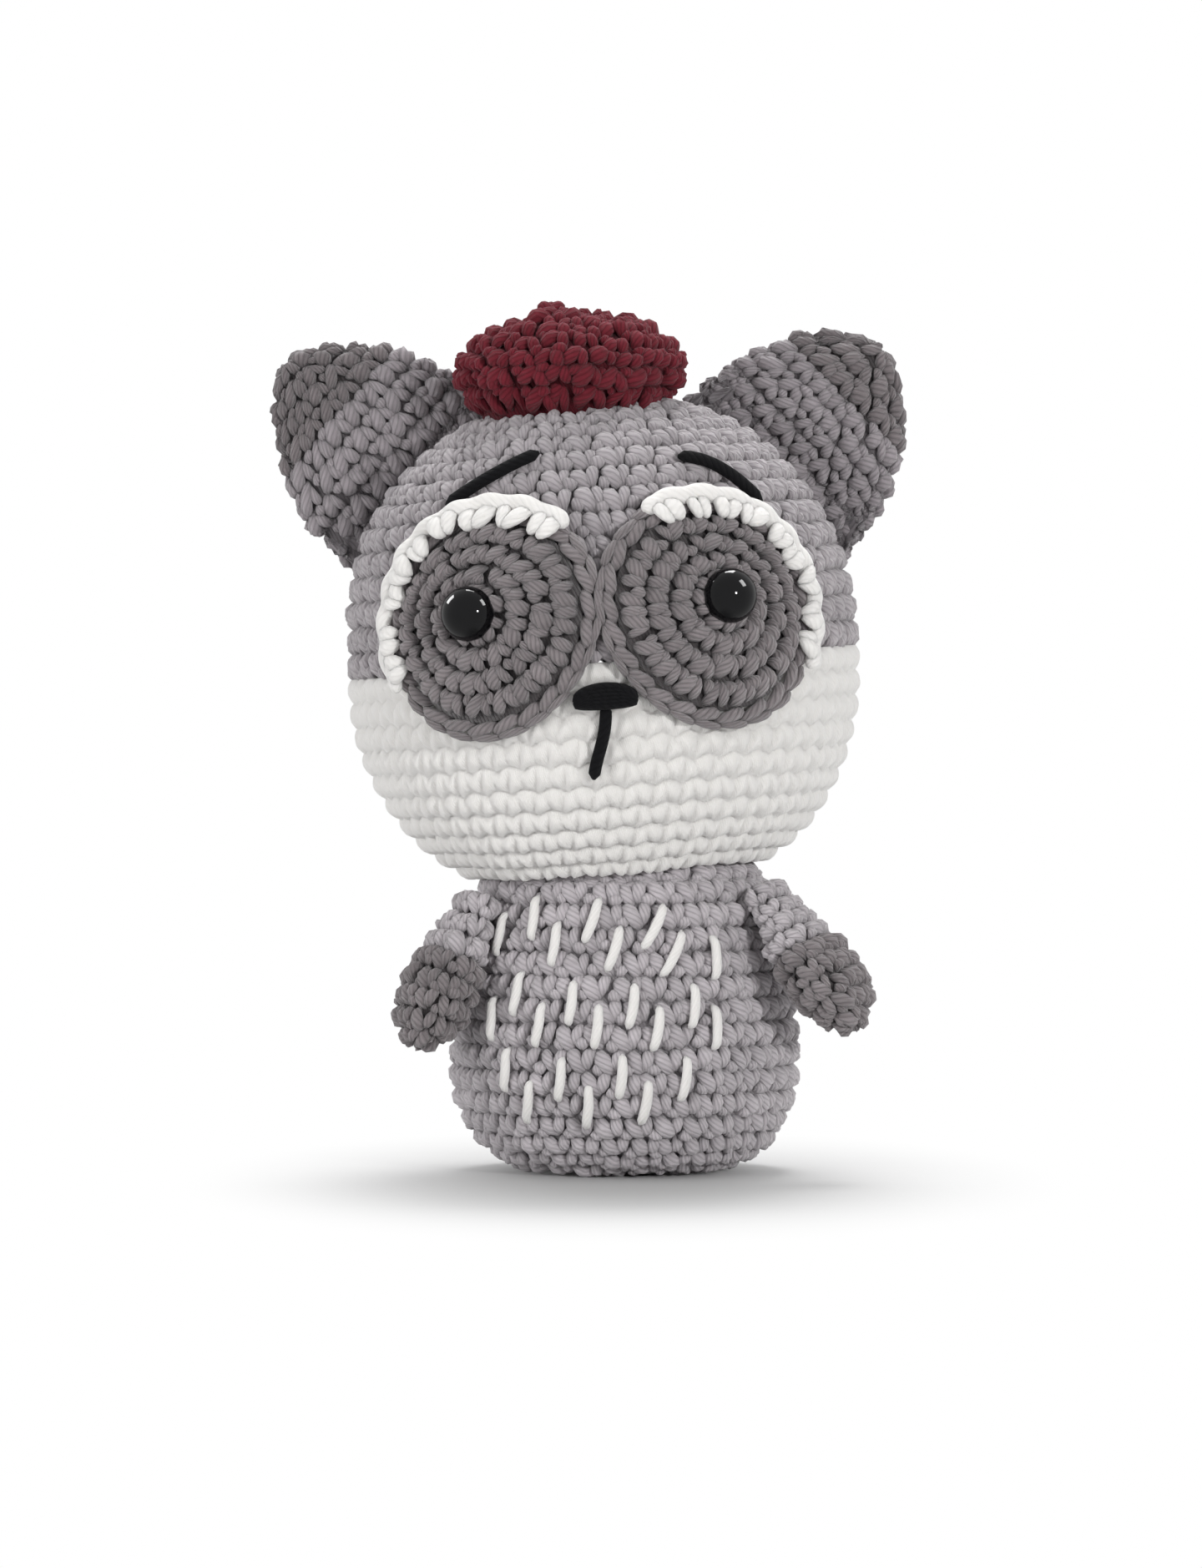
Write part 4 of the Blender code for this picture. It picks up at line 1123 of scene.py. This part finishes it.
@dataclass
class EyeSide:
    """One eye: its dark patch with a chain round it, the white edging and the domed safety eye."""

    side: str
    sign: float
    patch: float = 0.016
    patch_azimuth: float = math.radians(24.4)
    patch_height: float = 0.0063
    wall: float = 0.003
    eye_hole: float = 0.0017
    round_width: float = 0.0032
    round_counts: tuple[int, ...] = (5, 9, 14, 19)
    chain_width: float = 0.0029
    chain_link: float = 0.0042
    chain_lift: float = 0.0010
    lining_inset: float = 0.0012   # from the patch's edge in to its lining's
    lining_lift: float = 0.0009
    lining_foot: float = 0.0001
    cord: float = 0.00140          # half the width of the edging's outer cord
    cord_reach: float = 0.0017     # from the patch's edge out to the cord's middle
    cord_lift: float = 0.0020
    cord_wave: float = 0.00018     # how far it waves along the head
    cord_rise: float = 0.00022     # and off it
    cord_phase: float = 1.1        # between the two
    cord_steps: int = 12           # points to a tooth
    cord_overrun: float = 0.006    # share of a turn that it runs on beyond the teeth
    tooth: float = 0.0046          # from one tooth of the edging to the next
    tooth_bite: float = 0.0020     # from the patch's edge in to a tooth's foot
    tooth_reach: float = 0.0018    # and out to its point
    tooth_lift: float = 0.0039
    edging_start: float = math.radians(-27.0)
    edging_end: float = math.radians(128.0)
    eye_radius: float = 0.004
    eye_bulge: float = 0.0036
    eye_cut: float = -0.25         # where the ball is cut at its back, in radii
    eye_rim: float = 0.05          # width of the rim's rounding, in radii
    eye_azimuth: float = math.radians(27.2)
    eye_height: float = 0.0082

    def build(self) -> None:
        """Make and hand over the patch, the edging and the eye."""
        aside = (self.eye_azimuth - self.patch_azimuth) * HEAD.radius
        disc = FaceDisc(self.sign, self.sign * self.patch_azimuth, self.patch_height,
                        (self.sign * aside, self.eye_height - self.patch_height), self.patch)
        self._patch(disc)
        self._edging(disc)
        self._eye()

    def _patch(self, disc: FaceDisc) -> None:
        """The dark disc, worked from its middle out, and the chain that ends it."""
        fabric = Fabric(41 if self.sign < 0.0 else 42)
        top = self.wall - SINK
        end = self.eye_hole + len(self.round_counts) * self.round_width
        fabric.rounds(disc, self.eye_hole, end, sink=-top, counts=self.round_counts, loose=1.2,
                      legs=LEVEL_LEGS)
        fabric.chain(disc, self.patch, 0.0, 1.0, self.chain_link, self.chain_width, self.chain_lift)
        edge = self.patch - self.lining_inset
        flat = rings_of(disc, np.linspace(GAP, edge, 8), -self.lining_lift)
        under = rings_of(disc, np.linspace(edge, GAP, 4), -self.lining_foot)
        fabric.lining(np.concatenate((flat, under))[:, ::-1])
        hand_over(fabric.piece(self.side + "_patch_crochet", DARK_GREY),
                  (self.side + "_eye_patch",), "head")

    def _edging(self, disc: FaceDisc) -> None:
        """The white edging: a cord round the outside, and feet that bite into the patch."""
        fabric = Fabric(51 if self.sign < 0.0 else 52)
        start, end = self.edging_start / FULL_TURN, self.edging_end / FULL_TURN
        if self.sign < 0.0:
            start, end = 0.5 - end, 0.5 - start
        count = round(disc.girth(self.patch) * (end - start) / self.tooth)
        fabric.one_round(disc, self.patch - self.tooth_bite, self.patch + self.tooth_reach, count, start,
                         SINK - self.tooth_lift, end - start, loose=1.5, legs=TOOTH)
        turn = np.linspace(start - self.cord_overrun, end + self.cord_overrun, self.cord_steps * count + 1)
        wave = FULL_TURN * (turn - start) / (end - start) * count
        ring = self.patch + self.cord_reach + self.cord_wave * np.sin(wave)
        lift = self.cord_lift + self.cord_rise * np.sin(wave + self.cord_phase)
        path = disc.at(turn, ring, lift)
        fabric.strand(path, disc.at(turn, ring, lift + NUDGE) - path, self.cord, 0.85 * self.cord)
        hand_over(fabric.piece(self.side + "_edging_crochet", WHITE),
                  (self.side + "_patch_edging",), "head")

    def _eye(self) -> None:
        """The domed eye, from a ball that is cut at its back and rounded there."""
        lift = self.wall + 2.0 * GAP
        azimuth, height = self.sign * self.eye_azimuth, self.eye_height
        middle = Vector(HEAD.outside(np.array(azimuth), np.array(height), np.array(lift)))
        outer = Vector(HEAD.outside(np.array(azimuth), np.array(height), np.array(lift + NUDGE)))
        turn = (outer - middle).normalized().to_track_quat("Z", "Y")
        bpy.ops.object.select_all(action="DESELECT")
        bpy.ops.mesh.primitive_uv_sphere_add(segments=64, ring_count=32, radius=1.0)
        eye = bpy.context.object
        eye.name = self.side + "_eye_dome"
        eye.data.name = eye.name
        bpy.ops.object.mode_set(mode="EDIT")
        bpy.ops.mesh.select_all(action="SELECT")
        bpy.ops.mesh.bisect(plane_co=(0.0, 0.0, self.eye_cut), plane_no=(0.0, 0.0, 1.0), use_fill=True,
                            clear_inner=True)
        bpy.ops.object.mode_set(mode="OBJECT")
        bevel = eye.modifiers.new("Rim", "BEVEL")
        bevel.width = self.eye_rim
        bevel.segments = 3
        bevel.limit_method = "ANGLE"
        bpy.ops.object.modifier_apply(modifier="Rim")
        eye.data.transform(
            Matrix.Translation(middle) @ turn.to_matrix().to_4x4()
            @ Matrix.Diagonal((self.eye_radius, self.eye_radius, self.eye_bulge, 1.0))
        )
        eye.data.shade_smooth()
        eye.data.materials.append(EYE_PLASTIC.material())
        hand_over(eye, (self.side + "_eye",), "head")


@dataclass
class FaceStitches:
    """The nose, the mouth and the brows, in black yarn."""

    yarn: float = 0.0009
    nose_half_width: float = 0.0046
    nose_lift: float = 0.0009      # of the strands' middles, so that they cover the rims of the patches
    nose_depth: float = 0.0015
    nose_rise: float = 0.0020      # from the nose's ends up to its top
    nose_drop: float = 0.0008      # and down to its foot
    nose_height: float = -0.0056
    nose_strands: int = 6
    nose_yarn: float = 0.0006
    nose_top_curve: float = 0.45   # exponents of its outline: the lower, the squarer
    nose_foot_curve: float = 0.3
    nose_stagger: float = 0.06     # how much shorter every second strand is
    mouth_length: float = 0.0105
    mouth_lean: float = -0.0022
    mouth_sway: float = 0.0003
    # outer and inner end across, heights of the outer end, the middle and the inner end
    left_brow: tuple[float, ...] = (-0.0212, -0.0071, 0.0243, 0.0287, 0.0310)
    right_brow: tuple[float, ...] = (0.0248, 0.0130, 0.0216, 0.0290, 0.0290)

    def build(self) -> None:
        """Make and hand over the stitches of the face."""
        nose = Fabric(61)
        across = np.linspace(-1.0, 1.0, 21)
        for number in range(self.nose_strands):
            share = number / (self.nose_strands - 1)
            rise = -self.nose_drop + (self.nose_rise + self.nose_drop) * share
            curve = self.nose_foot_curve if rise < 0.0 else self.nose_top_curve
            height = self.nose_height + rise * np.clip(1.0 - across ** 2, 0.0, 1.0) ** curve
            reach = self.nose_half_width * (1.0 - self.nose_stagger * (number % 2))
            self._strand(nose, across * reach, height, self.nose_yarn, self.nose_lift, self.nose_depth,
                         tip=0.4)
        hand_over(nose.piece("nose_stitches", BLACK), ("nose",), "head")

        mouth = Fabric(62)
        share = np.linspace(0.0, 1.0, 15)
        sway = self.mouth_sway * np.sin(5.0 * share)
        self._strand(mouth, self.mouth_lean * share + sway,
                     self.nose_height - self.nose_drop - self.mouth_length * share, self.yarn)
        hand_over(mouth.piece("mouth_strand", BLACK), ("mouth_stitch",), "head")

        for side, brow in (("left", self.left_brow), ("right", self.right_brow)):
            outer, inner, low, middle, high = brow
            fabric = Fabric(63)
            curve = (1.0 - share) ** 2 * low + 2.0 * share * (1.0 - share) * middle + share ** 2 * high
            self._strand(fabric, outer + (inner - outer) * share, curve, self.yarn)
            hand_over(fabric.piece(side + "_brow_strand", BLACK), (side + "_eyebrow",), "head")

    @staticmethod
    def _strand(fabric: Fabric, across: np.ndarray, height: np.ndarray, yarn: float, lift: float = 0.0,
                depth: float | None = None, tip: float = 0.3) -> None:
        """Lay a strand on the front of the head, diving in at its ends.

        Args:
            fabric: what it is added to.
            across: how far across each point is.
            height: how high each point is.
            yarn: half the strand's width.
            lift: how far it lies off the head.
            depth: half its depth, where it isn't about round.
            tip: share of the thickness that its ends have.
        """
        path = HEAD.across(across, height, yarn + lift)
        outward = HEAD.across(across, height, yarn + lift + NUDGE) - path
        fabric.strand(path, outward, yarn, depth or 0.9 * yarn, tip=tip)


@dataclass
class Beret:
    """The beret, worked from the middle of its top, and the nub that ends it."""

    radius: float = 0.0175
    rim: float = 0.0144
    height: float = 0.0144
    widest: float = 0.0062
    rounding: float = 1.9
    across: float = -0.0021
    back: float = -0.003
    tilt: float = math.radians(3.5)
    skirt: float = 0.003           # how far it reaches on into the head
    skirt_stitches: float = 0.001  # how far of that its stitches go
    lumps: float = 0.0006
    nub_ring: float = 0.00126      # radius of the bend that its strands follow
    nub_height: float = 0.0018
    nub_sink: float = 0.0012       # of its strands' feet, under the beret's top
    nub_shift: float = -0.0028
    nub_yarn: float = 0.0009
    nub_strands: int = 3

    @property
    def place(self) -> Matrix:
        """The beret's frame: its origin is the middle of its rim."""
        seat = HEAD.crown * float(rounded(np.array(self.rim / HEAD.radius), HEAD.rounding))
        on_head = Matrix.Translation((self.across, self.back, HEAD.colour_line + seat))
        return HEAD.place @ on_head @ Matrix.Rotation(self.tilt, 4, "Y")

    def build(self) -> None:
        """Make and hand over the beret and its nub."""
        top = quarter(self.radius, self.height - self.widest, self.rounding)
        top[:, 1] += self.widest
        share = np.linspace(0.0, 1.0, 20)[1:]
        side = np.column_stack(
            (self.radius - (self.radius - self.rim) * share ** 2, self.widest * (1.0 - share))
        )
        skirt = np.array(((self.rim, -self.skirt),))
        form = Form(turned(np.concatenate((top, side, skirt))), self.place, Worked.DOWNWARDS, self.lumps)
        fabric = Fabric(71)
        fabric.rounds(form, 0.0, form.length - self.skirt + self.skirt_stitches, loose=1.9)
        fabric.lining(rings_of(form, np.linspace(0.0, form.length, 30), LINING)[:, ::-1])
        hand_over(fabric.piece("beret_crochet", BURGUNDY), ("beret", "beret_stuffing"), "head")

        nub = Fabric(72)
        share = np.linspace(0.0, 1.0, 11)
        for number in range(self.nub_strands):
            turn = FULL_TURN * number / self.nub_strands + math.pi * share
            local = np.column_stack((
                self.nub_shift + self.nub_ring * np.cos(turn),
                self.nub_ring * np.sin(turn),
                self.height - self.nub_sink + self.nub_height * np.sin(math.pi * share),
            ))
            path = placed(local, self.place)
            outward = np.array((0.0, 0.0, 1.0)) + 0.5 * (path - path.mean(axis=0)) / self.nub_ring
            nub.strand(path, outward, self.nub_yarn, self.nub_yarn, tip=0.7, tone=nub.draw.random())
        hand_over(nub.piece("beret_nub", BURGUNDY), ("beret_stem",), "head")


@dataclass
class Ear:
    """One ear: a flat pad, worked from its dark tip to the light base that is sewn to the head."""

    side: str
    sign: float
    outer: float                   # height of the base's outer end above the colour line
    lean: float                    # slope of the tip towards the head's middle
    inner_drop: float = 0.0032     # from the head's top down to the base's inner end
    tall: float = 0.0266
    half_width: float = 0.0178
    thickness: float = 0.0068
    seam_thickness: float = 0.0030
    tip_tall: float = 0.0095
    back: float = 0.006
    rounding: float = 1.77
    swell: float = 0.008
    fullness: float = 0.55         # exponent that keeps the pad full towards its edge
    tuck: float = 0.0010           # how far its outer end draws in where it is sewn on
    row: float = 0.0032
    stitch: float = 0.0041
    sink: float = 0.0012
    loose: float = 1.3
    lumps: float = 0.0003
    fill: float = 0.5
    root: float = 1.6              # how far its foot goes into the head, in bulges
    crowding: float = 1.6          # exponent that brings the profile's points closer at the tip
    start: float = 0.0006          # where its first round begins, along the profile
    fold: float = 0.007            # height above the seam of a point that is worked out but not used
    bulge: float = field(init=False)
    place: Matrix = field(init=False)

    def __post_init__(self) -> None:
        """Find the frame of the seam on the head."""
        low = self._end(self.outer)
        high = self._end(HEAD.crown - self.inner_drop)
        along = (low - high).normalized() * self.sign
        out = along.cross(Vector((0.0, 1.0, 0.0)))
        middle = self._end(0.5 * (self.outer + HEAD.crown - self.inner_drop))
        self.bulge = 0.5 * (middle - 0.5 * (low + high)).dot(out)
        turn = Matrix((along, Vector((0.0, 1.0, 0.0)), out)).transposed().to_4x4()
        self.place = HEAD.place @ Matrix.Translation(0.5 * (low + high) + out * self.bulge) @ turn

    def _end(self, height: float) -> Vector:
        """A point where the ear meets the head, in the head's frame."""
        radius = float(HEAD.radius_at(np.array(height), np.array(0.0)))
        across = self.sign * math.sqrt(radius ** 2 - self.back ** 2)
        return Vector((across, self.back, HEAD.colour_line + height))

    def form(self) -> Form:
        """The pad from its tip down to under the head's outside."""
        tip, foot = self.tall - self.bulge, -self.root * self.bulge
        height = tip + (foot - tip) * np.linspace(0.0, 1.0, 80) ** self.crowding
        share = (np.maximum(height, -self.bulge) + self.bulge) / self.tall
        tucked = 0.5 * self.tuck * smooth_step((self.bulge + self.swell - height) / self.swell)
        wide = self.half_width * rounded(share, self.rounding) - tucked
        grown = smooth_step((height - self.bulge) / self.swell)
        thickness = self.seam_thickness + (self.thickness - self.seam_thickness) * grown
        thick = 0.5 * thickness * (wide / self.half_width) ** self.fullness
        shift = -self.sign * (self.lean * (height - self.bulge) + tucked)
        return Form(np.column_stack((wide, thick, shift, height)), self.place, Worked.DOWNWARDS, self.lumps)

    def build(self) -> None:
        """Make and hand over the tip and the base."""
        form = self.form()
        split = form.along_at(self.tall - self.bulge - self.tip_tall)
        tip = Fabric(81 if self.sign < 0.0 else 82)
        first = tip.rounds(form, self.start, split, 0.0, self.sink, self.row, self.stitch, loose=self.loose)
        tip.lining(rings_of(form, np.linspace(self.start, split, 14), LINING)[:, ::-1])
        tip_piece = tip.piece(self.side + "_ear_tip_crochet", TIP_GREY_SHADED)
        hand_over(tip_piece, (self.side + "_ear_tip",), self.side + "_ear")

        base = Fabric(83 if self.sign < 0.0 else 84)
        base.rounds(form, split, form.length, first, self.sink, self.row, self.stitch, loose=self.loose)
        base.lining(rings_of(form, np.linspace(split, form.length, 18), LINING)[:, ::-1])
        base_piece = base.piece(self.side + "_ear_base_crochet", EAR_GREY_SHADED)
        start_point = self.place @ Vector((0.0, 0.0, 0.5 * self.bulge))
        end_point = self.place @ Vector((0.0, 0.0, self.bulge + self.fold))
        hand_over(base_piece, (self.side + "_ear_base",), None)
        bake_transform(base_piece)


@dataclass
class Arm:
    """One arm: a light sleeve and a dark paw, worked from the paw up to the shoulder seam."""

    side: str
    azimuth: float
    lift: float                    # from the vertical
    reach: float = 0.024668        # of the shoulder seam from the body's middle
    shoulder: float = 0.0410
    length: float = 0.0240
    top_radius: float = 0.0046
    top_thickness: float = 0.0050
    top_reach: float = 0.0022
    paw_radius: float = 0.0070
    paw_thickness: float = 0.0108
    cuff: float = 0.0092
    paw_round: float = 0.0090
    swell: float = 0.0125
    row: float = 0.0033
    stitch: float = 0.0039
    sink: float = 0.0010
    loose: float = 1.3
    lumps: float = 0.0003
    start: float = 0.0004          # where the paw's first round begins, along the profile
    fold_above: float = 0.0005     # how far above and below the seam two points lie that are worked out but not used
    fold_below: float = 0.006
    ring: int = 24                 # points in a ring of the lining

    @property
    def place(self) -> Matrix:
        """The arm's frame: its origin is on the shoulder seam, and it hangs along -Z."""
        outward = Vector((math.sin(self.azimuth), -math.cos(self.azimuth), 0.0))
        hinge = outward.cross(Vector((0.0, 0.0, 1.0)))
        turn = Matrix((hinge, outward, Vector((0.0, 0.0, 1.0)))).transposed().to_4x4()
        seam = Matrix.Translation(outward * self.reach + Vector((0.0, 0.0, self.shoulder)))
        return seam @ turn @ Matrix.Rotation(self.lift, 4, "X")

    def form(self) -> Form:
        """The arm from the end of its paw up to its seam."""
        straight = self.length - self.paw_round
        end = quarter(self.paw_round, self.paw_radius, 2.0)
        low = np.column_stack((end[::-1, 1], -straight - end[::-1, 0]))
        down = np.linspace(straight, -self.top_reach, 40)[1:]
        share = (down + self.top_reach) / (straight + self.top_reach)
        wide = self.top_radius + (self.paw_radius - self.top_radius) * smooth_step(share)
        high = np.column_stack((wide, -down))
        outline = np.concatenate((low, high))
        grown = smooth_step(-outline[:, 1] / self.swell)
        seam = self.top_thickness / (2.0 * self.top_radius)
        paw = self.paw_thickness / (2.0 * self.paw_radius)
        thick = outline[:, 0] * (seam + (paw - seam) * grown)
        profile = np.column_stack((outline[:, 0], thick, np.zeros(len(outline)), outline[:, 1]))
        return Form(profile, self.place, Worked.UPWARDS, self.lumps)

    def build(self) -> None:
        """Make and hand over the paw and the sleeve."""
        form = self.form()
        cuff = form.along_at(-self.cuff)
        seed = 91 if self.side == "left" else 93
        paw = Fabric(seed)
        first = paw.rounds(form, self.start, cuff, 0.0, self.sink, self.row, self.stitch, loose=self.loose)
        paw.lining(rings_of(form, np.linspace(0.0, cuff, 16), LINING, self.ring))
        hand_over(paw.piece(self.side + "_paw_crochet", DARK_GREY), (self.side + "_paw",),
                  self.side + "_arm")
        sleeve = Fabric(seed + 1)
        sleeve.rounds(form, cuff, form.length, first, self.sink, self.row, self.stitch, loose=self.loose)
        sleeve.lining(rings_of(form, np.linspace(cuff, form.length, 10), LINING, self.ring))
        piece = sleeve.piece(self.side + "_sleeve_crochet", LIGHT_GREY)
        hand_over(piece, (self.side + "_sleeve", self.side + "_arm_stuffing"), None)
        start_point = self.place @ Vector((0.0, 0.0, self.fold_above))
        end_point = self.place @ Vector((0.0, 0.0, -self.fold_below))
        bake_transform(piece)


@dataclass
class Studio:
    """The pale floor, the soft lights and the camera."""

    width: int = 1440
    height: int = 1879
    pixel: float = 0.000125        # metres to a pixel, at the toy's middle
    distance: float = 1.0
    axis_pixel: float = 748.0      # across, of the toy's middle
    ground_pixel: float = 1402.0   # down, of the ground under its middle
    level_pixel: float = 790.0     # down, of the camera's own height

    def build(self) -> None:
        """Set up everything round the toy."""
        bpy.context.scene.view_settings.view_transform = "Standard"
        self._camera()
        self._world()
        self._floor()
        self._lamp("left", (-0.80, 0.30, 0.66), 0.30, 0.40, 9.0, Lights.GLOSS)
        self._lamp("right", (0.80, -0.20, 0.75), 0.30, 0.40, 9.0, Lights.GLOSS)
        self._lamp("top", (0.05, 0.42, 0.95), 0.35, 0.35, 7.4)
        self._lamp("front", (0.50, -0.80, 0.24), 0.10, 0.10, 4.2)
        self._lamp("fill", (-0.80, -0.60, 0.12), 0.80, 0.60, 6.2, Lights.MATT)

    def _camera(self) -> None:
        """The camera, at the photograph's angle."""
        level = (self.ground_pixel - self.level_pixel) * self.pixel
        pitch = math.atan((0.5 * self.height - self.level_pixel) * self.pixel / self.distance)
        across = (0.5 * self.width - self.axis_pixel) * self.pixel
        bpy.ops.object.camera_add(location=(across, -self.distance, level),
                                  rotation=(0.5 * math.pi - pitch, 0.0, 0.0))
        camera = bpy.context.object
        camera.data.sensor_fit = "VERTICAL"
        camera.data.sensor_height = 36.0
        camera.data.lens = 36.0 * self.distance / (self.height * self.pixel)
        camera.data.clip_start = 0.01
        bpy.context.scene.camera = camera

    @staticmethod
    def _world() -> None:
        """A sky that the camera and the gloss see white, and that lights the toy softly."""
        world = bpy.data.worlds.new("studio")
        bpy.context.scene.world = world
        world.use_nodes = True
        tree = world.node_tree
        sky = tree.nodes["Background"]
        sky.inputs["Color"].default_value = (1.0, 1.0, 1.0, 1.0)
        path = tree.nodes.new("ShaderNodeLightPath")
        seen = tree.nodes.new("ShaderNodeMath")
        seen.operation = "MAXIMUM"
        tree.links.new(path.outputs["Is Camera Ray"], seen.inputs[0])
        bright = tree.nodes.new("ShaderNodeMath")
        bright.operation = "MAXIMUM"
        tree.links.new(path.outputs["Is Glossy Ray"], bright.inputs[0])
        tree.links.new(path.outputs["Is Transmission Ray"], bright.inputs[1])
        tree.links.new(bright.outputs[0], seen.inputs[1])
        strength = tree.nodes.new("ShaderNodeMapRange")
        strength.inputs["To Min"].default_value = 0.52
        strength.inputs["To Max"].default_value = 1.0
        tree.links.new(seen.outputs[0], strength.inputs["Value"])
        tree.links.new(strength.outputs[0], sky.inputs["Strength"])

    @staticmethod
    def _floor() -> None:
        """A round pale floor, which keeps the toy's shadow and fades to white away from it; its grey matt
        oval round the toy, set a little in front of it, is partly that real shadow and partly a painted soft
        shadow.
        """
        bpy.ops.object.select_all(action="DESELECT")
        bpy.ops.mesh.primitive_circle_add(vertices=64, radius=3.0, fill_type="NGON",
                                          location=(0.0, 0.0, -0.00005))
        floor = bpy.context.object
        floor.name = "floor"
        bpy.ops.object.transform_apply(location=True)
        graph = Graph("pale_floor")
        nodes = graph.tree.nodes
        nodes.remove(graph.shader)
        matt = graph.node("BsdfDiffuse")
        matt.inputs["Color"].default_value = (0.58, 0.58, 0.58, 1.0)
        glow = graph.node("Emission")
        glow.inputs["Strength"].default_value = 1.0
        # Painted shadow: the grey matt floor shows only inside an oval placed and shaped like the toy's
        # shadow, and glows white outside it.
        ball = graph.node("TexGradient", gradient_type="SPHERICAL")
        size = graph.node("Mapping")
        size.inputs["Location"].default_value = (0.0, 0.18, 0.0)
        size.inputs["Scale"].default_value = (15.0, 9.0, 15.0)
        graph.join(graph.node("TexCoord").outputs["Object"], size.inputs["Vector"])
        graph.join(size.outputs[0], ball.inputs["Vector"])
        shadow_patch = graph.node("MapRange", interpolation_type="SMOOTHSTEP")
        shadow_patch.inputs["From Max"].default_value = 0.9
        graph.join(ball.outputs["Fac"], shadow_patch.inputs["Value"])
        path = graph.node("LightPath")
        gloss = graph.sum("MAXIMUM", path.outputs["Is Glossy Ray"], path.outputs["Is Transmission Ray"])
        seen = graph.sum("MAXIMUM", path.outputs["Is Camera Ray"], gloss)
        away = graph.sum("MULTIPLY", graph.sum("SUBTRACT", 1.0, shadow_patch.outputs[0]), seen)
        mix = graph.node("MixShader")
        graph.join(away, mix.inputs[0])
        graph.join(matt.outputs[0], mix.inputs[1])
        graph.join(glow.outputs[0], mix.inputs[2])
        graph.join(mix.outputs[0], nodes["Material Output"].inputs["Surface"])
        floor.data.materials.append(graph.material)

    @staticmethod
    def _lamp(name: str, place: tuple[float, float, float], width: float, tall: float, power: float,
              lights: Lights = Lights.ALL) -> None:
        """A soft oblong lamp that looks at the toy's middle.

        Args:
            name: the lamp's name.
            place: where it stands.
            width: its width.
            tall: its height.
            power: its power in watts.
            lights: what it lights.
        """
        bpy.ops.object.light_add(type="AREA", location=place)
        lamp = bpy.context.object
        lamp.name = name + "_lamp"
        lamp.data.shape = "RECTANGLE"
        lamp.data.size = width
        lamp.data.size_y = tall
        lamp.data.energy = power
        lamp.visible_diffuse = lights is not Lights.GLOSS
        lamp.visible_glossy = lights is not Lights.MATT
        aim = Vector((0.0, 0.0, 0.07)) - Vector(place)
        lamp.rotation_euler = aim.to_track_quat("-Z", "Y").to_euler()


def dress_washers() -> None:
    """Give the washers behind the eyes their finish: they keep their CAD shape."""
    for side in ("left", "right"):
        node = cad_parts[side + "_eye_washer"]
        node.data.materials.clear()
        node.data.materials.append(WASHER_PLASTIC.material())
        LOG.info("%s_eye_washer: dressed", side)


def main() -> None:
    """Build the toy from its body to its ears, and the studio round it."""
    logging.basicConfig(level=logging.INFO, format="%(name)s: %(message)s")
    Body().build()
    Neck().build()
    Head().build()
    EyeSide("left", -1.0).build()
    EyeSide("right", 1.0, patch_height=0.0056, edging_end=math.radians(114.0)).build()
    FaceStitches().build()
    Beret().build()
    Ear("left", -1.0, outer=0.0189, lean=0.045, tall=0.0278, tuck=0.0017, rounding=1.7,
        tip_tall=0.0113).build()
    Ear("right", 1.0, outer=0.0139, lean=0.087).build()
    Arm("left", math.radians(-61.0), math.radians(26.75), top_reach=0.0008).build()
    Arm("right", math.radians(59.0), math.radians(39.25)).build()
    dress_washers()
    Studio().build()


if __name__ == "__main__":
    main()
